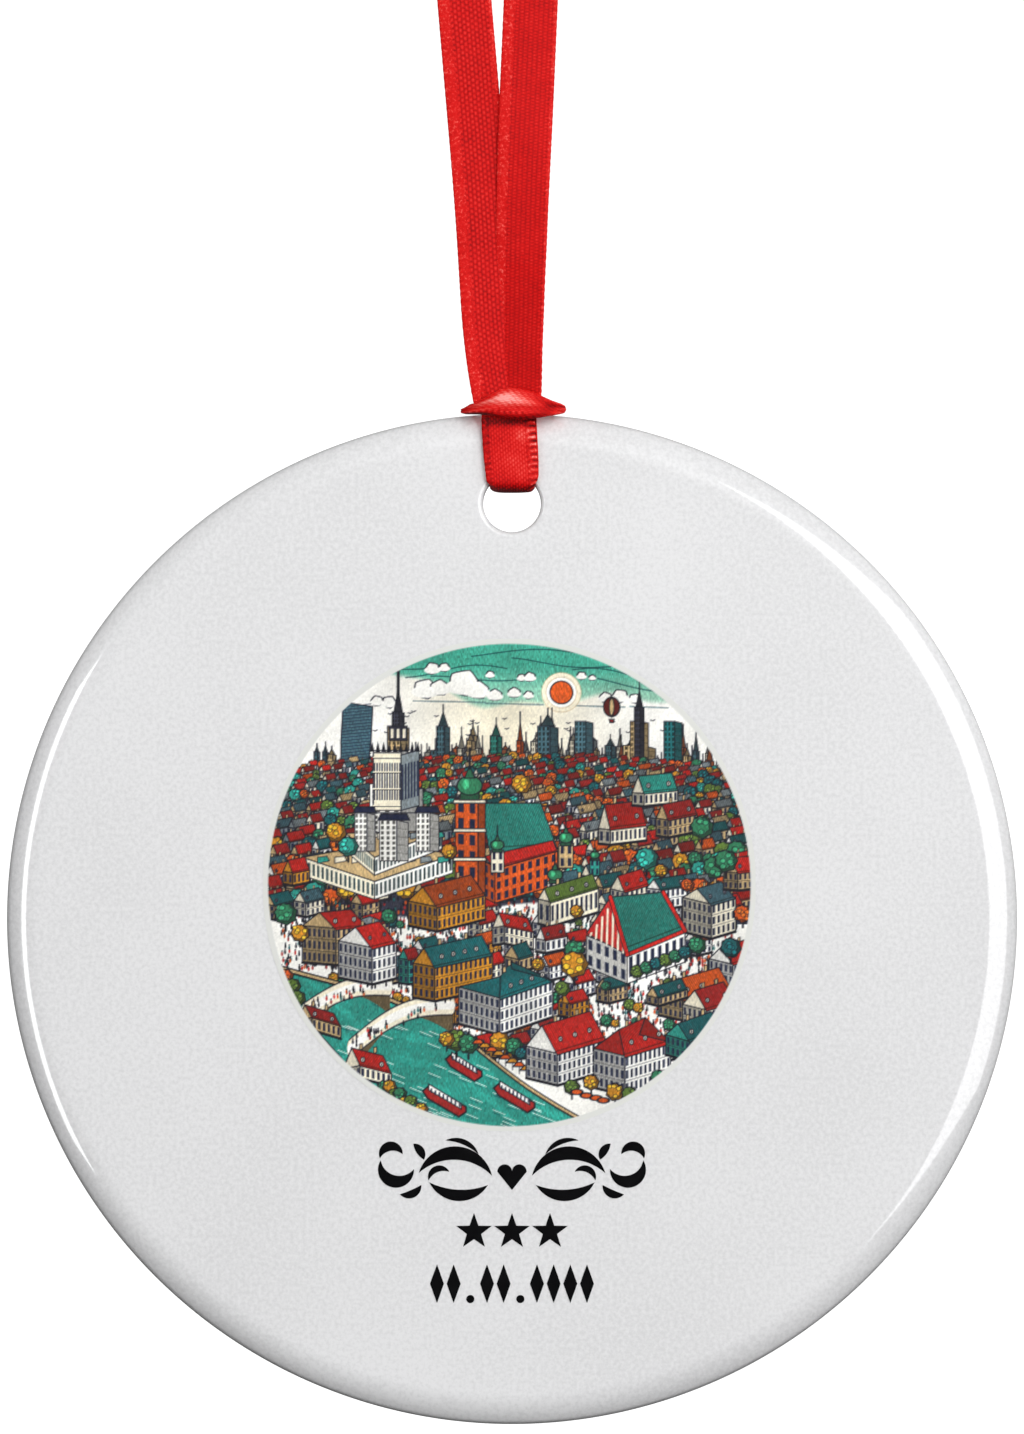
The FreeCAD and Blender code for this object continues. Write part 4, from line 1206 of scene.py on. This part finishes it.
# Paper-white ground below the old town, and the river with its banks.
def paintStreets(art):
    where, u, v = art.window((-1, -1), (1, 0.02))
    ground = -0.075 + 0.03 * np.sin(5 * u) - 0.06 * np.abs(u)
    share = smoothStep((ground - v) / 0.012)[..., None]
    spot = art.paint[where]
    spot += (wash["white"] - spot) * share
    art.people((-0.95, -0.2), (0.95, -0.2), 0.3, 1500)
    art.people((-0.75, -0.5), (0.85, -0.45), 0.5, 2100)


# Loose rows of middling houses and trees, with gaps for the streets.
def paintOldTown(art):
    roofs = [wash["red"]] * 4 + [wash["brick"], wash["orange"], wash["deep"], wash["slate"]]
    walls = [wash["white"], wash["cream"], wash["sand"], wash["mustard"], wash["white"]]
    trees = [wash["leaf"], wash["olive"], wash["mustard"], wash["deep"]]
    for level in np.arange(-0.14, -0.78, -0.085):
        for x in np.arange(-0.98, 1.0, 0.125):
            x, y = x + art.between(-0.02, 0.02), level + art.between(-0.02, 0.02)
            if y < -0.44 - 0.9 * (x + 0.72) and x < -0.1:
                continue
            pick = art.chance.uniform()
            if pick < 0.5:
                art.house(x, y, 0.05, art.between(0.06, 0.09), 0.055, 0.04,
                          art.pick(walls), art.pick(roofs), 0.25, 2)
            elif pick < 0.85:
                art.tree(x, y, art.between(0.018, 0.03), art.pick(trees))
                art.tree(x + 0.035, y - 0.012, art.between(0.015, 0.026),
                         art.pick(trees))


# A river between two wavy banks, two bridges that rise in a sine, and long boats
def paintRiver(art):
    where, u, v = art.window((-1, -1), (0.5, -0.2))
    top = -0.30 - 0.46 * (u + 1.0) - 0.05 * np.sin(4 * u) - 0.04 * smoothStep((u + 0.3) / 0.4)
    low = -0.46 - 0.92 * (u + 1.0) + 0.05 * np.sin(5 * u)
    distance = np.maximum(v - top, low - v)
    ripple = np.sin(60 * (v + 0.5 * u) + 3 * np.sin(9 * u)) * np.sin(14 * u + 8 * v)
    water = wash["sea"] * (0.96 + 0.1 * smoothStep(ripple)[..., None])
    art.lay(where, distance - 0.018, wash["sand"], 0.006)
    art.lay(where, distance, water, 0.008)
    for x, y in art.chance.uniform((-0.9, -1.0), (0.2, -0.4), (150, 2)):
        a = (x, y)
        row, column = int((y + art.reach) / art.cell), int((x + art.reach) / art.cell)
        if np.abs(art.paint[row, column] - wash["sea"]).sum() < 0.25:
            art.stroke(a, (x + 0.05, y - 0.02), 0.003, wash["white"])
            art.stroke((x, y - 0.012), (x + 0.03, y - 0.022), 0.003, wash["deep"])
    for a, b, rise in (((-0.85, -0.53), (-0.5, -0.42), 0.05), ((-0.66, -0.68), (-0.24, -0.5), 0.07)):
        a, b = np.array(a), np.array(b)
        for share in np.linspace(0, 1, 90):
            lift = rise * math.sin(math.pi * share)
            spot = a + share * (b - a)
            drop = 0.02 + 0.045 * abs(2 * share - 1)**1.6
            art.stroke(spot + (0, lift - drop * 0.6), spot + (0, lift - drop * 1.7), 0.009,
                       wash["sand"] * 0.55)
        for width, colour in ((0.085, wash["ink"]), (0.075, wash["cream"]), (0.035, wash["white"])):
            for share in np.linspace(0, 1, 60):
                spot = a + share * (b - a) + (0, rise * math.sin(math.pi * share) * 0.8)
                art.oval(*spot, 0.014, width / 2, colour, 0)
        art.people(a + (0, rise * 0.35), b + (0, rise * 0.35), 0.04, 34)
    for x, y, long in ((-0.19, -0.76, 0.15), (0.02, -0.885, 0.17), (-0.27, -0.9, 0.18)):
        a, b = np.array([x - long / 2, y + long * 0.24]), np.array([x + long / 2, y - long * 0.24])
        art.shape([a, a + (0.02, 0.018), b + (0, 0.022), b, b + (-0.03, -0.02), a + (0.02, -0.03)],
                  wash["brick"], 0.007)
        art.shape([a + (0.025, 0.005), b + (-0.02, 0.012), b + (-0.02, 0.035), a + (0.025, 0.03)],
                  wash["white"])
        for share in np.linspace(0.2, 0.85, 8):
            art.stroke(a + share * (b - a) + (0, 0.012), a + share * (b - a) + (0, 0.026), 0.006,
                       wash["navy"])


# Streets of houses, from the farthest to the nearest.
def paintNearTown(art):
    white, cream, mustard, sand = (wash[word] for word in ("white", "cream", "mustard", "sand"))
    red, brick, sea, deep = (wash[word] for word in ("red", "brick", "sea", "deep"))
    orange, slate = wash["orange"], wash["slate"]
    for house in (
            (0.42, 0.17, 0.05, 0.15, 0.06, 0.1, cream, red * 0.9, 0.12, 1),
            (0.56, 0.33, 0.05, 0.14, 0.05, 0.07, cream, sea, 0.1, 1),
            (0.66, 0.2, 0.05, 0.12, 0.07, 0.06, sand, brick, 0.2, 2),
            (0.48, -0.09, 0.06, 0.1, 0.06, 0.06, cream, red, 0.3, 2),
            (0.63, -0.1, 0.06, 0.12, 0.08, 0.04, white, deep, 0.15, 2),
            (0.84, -0.22, 0.12, 0.1, 0.14, 0.05, cream, slate, 0.3, 3),
            (0.95, -0.02, 0.06, 0.1, 0.07, 0.06, sand, red, 0.1, 2),
            (-0.9, 0.0, 0.04, 0.07, 0.05, 0.05, mustard, red, 0.2, 1),
            (-0.3, -0.19, 0.12, 0.2, 0.1, 0.07, mustard, orange * 0.8, 0.25, 2),
            (-0.72, -0.33, 0.14, 0.13, 0.15, 0.06, sand, red, 0.1, 3),
            (-0.57, -0.41, 0.14, 0.1, 0.15, 0.07, white, red, 0.25, 3),
            (-0.02, -0.24, 0.05, 0.12, 0.07, 0.06, cream, red, -0.2, 2),
            (0.15, -0.28, 0.04, 0.09, 0.05, 0.05, white, brick, 0.2, 1),
            (0.04, -0.36, 0.06, 0.06, 0.05, 0.05, sand, deep, 0.3, 1),
            (-0.42, -0.41, 0.04, 0.05, 0.1, 0.04, sea, brick, 0.2, 3),
            (-0.31, -0.48, 0.09, 0.24, 0.14, 0.07, mustard, deep * 1.1, 0.22, 3),
            (0.93, -0.42, 0.1, 0.1, 0.09, 0.06, white, red, 0.3, 2),
            (0.72, -0.56, 0.1, 0.2, 0.08, 0.07, sand, orange, 0.28, 2),
            (0.82, -0.62, 0.1, 0.12, 0.1, 0.07, cream, brick, 0.3, 2),
            (0.62, -0.5, 0.05, 0.12, 0.03, 0.04, sand, deep, 0.3, 1)):
        art.house(*house)
    art.plant((
        (-0.93, -0.12, 0.05, "leaf"), (-0.87, -0.2, 0.04, "mustard"), (-0.5, -0.13, 0.035, "leaf"),
        (0.28, -0.11, 0.03, "mustard"), (0.12, -0.33, 0.03, "mustard"), (0.27, -0.27, 0.045, "leaf"),
        (0.78, -0.25, 0.04, "leaf"), (0.92, -0.26, 0.045, "deep"), (0.97, -0.12, 0.04, "orange"),
        (0.57, 0.11, 0.05, "sea"), (0.63, 0.06, 0.03, "mustard"), (0.74, 0.0, 0.03, "orange"),
        (0.9, 0.1, 0.05, "leaf"), (0.8, 0.24, 0.05, "leaf"), (-0.72, 0.22, 0.045, "mustard"),
        (-0.67, 0.16, 0.045, "sea"), (-0.25, 0.14, 0.035, "mustard"), (0.05, 0.42, 0.045, "mustard")))
    art.wall((0.32, -0.34), (0.49, -0.41), 0.13, white * 0.82, 5, 2)
    art.wall((0.49, -0.41), (0.73, -0.32), 0.13, white, 8, 1)
    left, front, right = np.array([(0.32, -0.2), (0.49, -0.29), (0.73, -0.19)])
    top, far = np.array([(0.42, -0.05), (0.64, -0.03)])
    art.shape([left, front, top], brick * 1.15)
    for share in np.linspace(0.1, 0.9, 7):
        foot = left + share * (front - left)
        art.stroke(foot, foot + (0.004, 0.17 * (1 - abs(2 * share - 1.15))), 0.009, cream)
    art.roof([front, right, far, top], sea * 0.88, 16)
    for start, end in ((front, right), (right, far), (front, top)):
        art.stroke(start, end, 0.02)
        art.stroke(start, end, 0.014, red)
    for k in range(6):
        art.tree(0.53 + 0.04 * k, -0.36 + 0.016 * k, 0.03, wash[["olive", "leaf", "deep"][k % 3]])
    art.plant((
        (0.27, -0.33, 0.06, "mustard"), (0.22, -0.43, 0.035, "olive"), (0.4, -0.42, 0.022, "leaf"),
        (0.18, -0.47, 0.03, "leaf")))
    art.house(-0.04, -0.62, 0.17, 0.22, 0.15, 0.06, white, deep * 1.25, 0.34, 3, 0.45)
    art.plant((
        (-0.22, -0.645, 0.05, "olive"), (-0.17, -0.66, 0.045, "leaf"), (-0.26, -0.64, 0.035, "mustard"),
        (-0.04, -0.65, 0.045, "mustard"), (0.02, -0.67, 0.04, "leaf"), (0.05, -0.7, 0.03, "deep"),
        (0.18, -0.6, 0.035, "olive")))
    for k, share in enumerate(np.linspace(0, 1, 8)):
        x, y = -0.13 + 0.2 * share, -0.66 - 0.11 * share
        art.stroke((x, y - 0.03), (x, y), 0.003)
        art.shape([(x - 0.026, y), (x + 0.026, y), (x + 0.01, y + 0.018), (x - 0.01, y + 0.018)],
                  wash[["orange", "mustard"][k % 2]])
    art.house(0.2, -0.83, 0.13, 0.2, 0.13, 0.1, white, red, 0.3, 3)
    art.house(0.48, -0.87, 0.13, 0.19, 0.16, 0.09, white, red, 0.3, 3, 0.25)
    art.house(0.75, -0.73, 0.1, 0.14, 0.08, 0.06, sea, deep, 0.35, 2)
    art.plant((
        (0.26, -0.84, 0.035, "olive"), (0.34, -0.82, 0.035, "mustard"), (0.44, -0.86, 0.04, "mustard"),
        (0.5, -0.87, 0.035, "olive"), (0.62, -0.8, 0.035, "leaf")))
    for x, y in ((0.28, -0.86), (0.32, -0.875), (0.36, -0.885), (0.39, -0.895)):
        art.oval(x, y, 0.024, 0.011, orange)
    art.house(-0.62, -0.8, 0.07, 0.13, 0.05, 0.08, cream, red, -0.25, 1)
    art.house(-0.82, -0.6, 0.06, 0.12, 0.05, 0.06, sand, brick, -0.3, 1)
    for k in range(9):
        art.tree(-0.52 + 0.022 * k, -0.84 - 0.016 * k + 0.02 * (k % 2), 0.03,
                 wash[["leaf", "mustard", "olive"][k % 3]])
    for x, y in ((-0.93, -0.38), (-0.9, -0.42), (-0.95, -0.43), (-0.88, -0.47)):
        art.tree(x, y, 0.035, wash["orange" if x < -0.91 else "olive"])


picture = {
    "size": 1000, "rows": 500, "reach": 1.025, "rise": 0.03 * mm, "rough": 0.3, "grain": 2600.0,
    "relief": 0.006 * mm, "speck": 3, "stroke": 5, "hatchTurns": 330, "grainDepth": 0.02,
    "cloudDepth": 0.05, "strokeDepth": 0.09, "darker": 0.07, "hatchDepth": 0.05, "power": 1.22,
    "rim": tint(217, 218, 214), "rimEase": 0.004,
}


# The whole picture, then grain, hatching and a wash over it, and a pale rim outside it. Strokes and
# hatching are strongest on middle tones: 4 times the tone times its distance from white.
def paintPicture():
    size = picture["size"]
    art = Canvas(size, picture["reach"])
    for layer in (paintSky, paintSkyline, paintFarTown, paintStreets, paintOldTown, paintLandmarks,
                  paintRiver, paintNearTown):
        layer(art)
    u = (np.arange(size) + 0.5) * 2 / size - 1
    u, v = u[None, :], u[:, None]
    speck, stroke = picture["speck"], picture["stroke"]
    grain = art.chance.normal(0, 1, (size // speck + 2, size // speck + 2))
    grain = np.kron(grain, np.ones((speck, speck)))[:size, :size]
    cloud = np.sin(9 * u + 4 * np.sin(5 * v)) * np.sin(11 * v + 3 * np.sin(6 * u))
    strokes = np.kron(art.chance.normal(0, 1, (size // stroke, size)), np.ones((stroke, 1)))
    tone = art.paint.mean(-1)
    middling = 4 * tone * (1 - tone)
    hatch = np.sin(picture["hatchTurns"] * (u + 0.6 * v)) * smoothStep(cloud + 0.4) * middling
    shading = 1 + picture["grainDepth"] * grain + picture["cloudDepth"] * cloud
    shading += (picture["strokeDepth"] * strokes - picture["darker"]) * middling
    shading -= picture["hatchDepth"] * hatch
    inked = np.clip(art.paint * shading[..., None], 0, 1) ** picture["power"]
    rim = smoothStep((np.hypot(u, v) - 1 / picture["reach"]) / picture["rimEase"])[..., None]
    return inked + (picture["rim"] - inked) * rim


# Two halves of a round sheet on the face. Points outside the circle are drawn in to it,
# and every point has the canvas colour of its place.
def makePicture():
    rows = picture["rows"]
    side = picture["size"] // rows
    cells = paintPicture().reshape(rows, side, rows, side, 3).mean((1, 3))
    linear = linearLight(cells)
    across = (np.arange(rows) + 0.5) * 2 / rows - 1
    u, v = np.meshgrid(across, across)
    away = np.hypot(u, v)
    inside = away < 1
    pull = np.where(inside, 1, 1 / np.maximum(away, 1e-6))
    reach = picture["reach"] * pictureRadius
    points = np.stack([pictureMiddle[0] + u * pull * reach, np.full(u.shape, faceY - picture["rise"]),
                       pictureMiddle[2] + v * pull * reach], -1)
    quads = gridFaces(rows, rows)
    flat = inside.ravel()
    quads = quads[flat[quads].sum(1) >= 1]
    paint = Paint(bpy.data.materials.new("printed picture"))
    colour = paint.use("Attribute", {"attribute_name": "print"})
    grain = paint.noise(picture["grain"], 2.0)
    paint.set(Base_Color=paint.mix(grain * 0.04, colour, shade(235, 232, 222)),
              Roughness=grain * 0.08 + picture["rough"], Specular_IOR_Level=0.05)
    paint.bump(grain, picture["relief"])
    middleColumn = rows // 2
    for word, keep in (("left", lambda column: column < middleColumn),
                       ("right", lambda column: column >= middleColumn)):
        chosen = quads[keep(quads[:, 0] % rows)]
        used, places = np.unique(chosen, return_inverse=True)
        piece = meshPiece(f"town_print_{word}", points.reshape(-1, 3)[used],
                          places.reshape(chosen.shape), "disc", paint.owner)
        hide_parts("picture_print")
        layer = piece.data.attributes.new("print", "FLOAT_COLOR", "POINT")
        values = np.ones((len(used), 4), np.float32)
        values[:, :3] = linear.reshape(-1, 3)[used]
        layer.data.foreach_set("color", values.ravel())
        sheet = piece.data.uv_layers.new(name="sheet")
        corner = np.empty(len(piece.data.loops), np.int32)
        piece.data.loops.foreach_get("vertex_index", corner)
        flatPlace = np.stack([u.ravel()[used], v.ravel()[used]], 1) * 0.5 + 0.5
        sheet.data.foreach_set("uv", flatPlace[corner].astype(np.float32).ravel())


makePicture()
print("picture ready")


# Black prints

inkLook = {
    "dark": shade(4, 4, 5), "pale": shade(24, 24, 26), "cloud": 900.0, "grain": 2600.0,
    "rough": 0.4, "specular": 0.04, "relief": 0.008 * mm,
}


def inkPrint():
    paint = Paint(bpy.data.materials.new("black ink"))
    cloud = paint.noise(inkLook["cloud"])
    paint.set(Base_Color=paint.mix(cloud * 0.5, inkLook["dark"], inkLook["pale"]),
              Roughness=cloud * 0.15 + inkLook["rough"], Specular_IOR_Level=inkLook["specular"])
    paint.bump(paint.noise(inkLook["grain"], 2.0), inkLook["relief"])
    return paint.owner


ink = inkPrint()
for name in ("flourish_print", "star_print", "dot_print"):
    node = frame["nodes"][name]
    node.data.materials.clear()
    node.data.materials.append(ink)
print("prints ready")
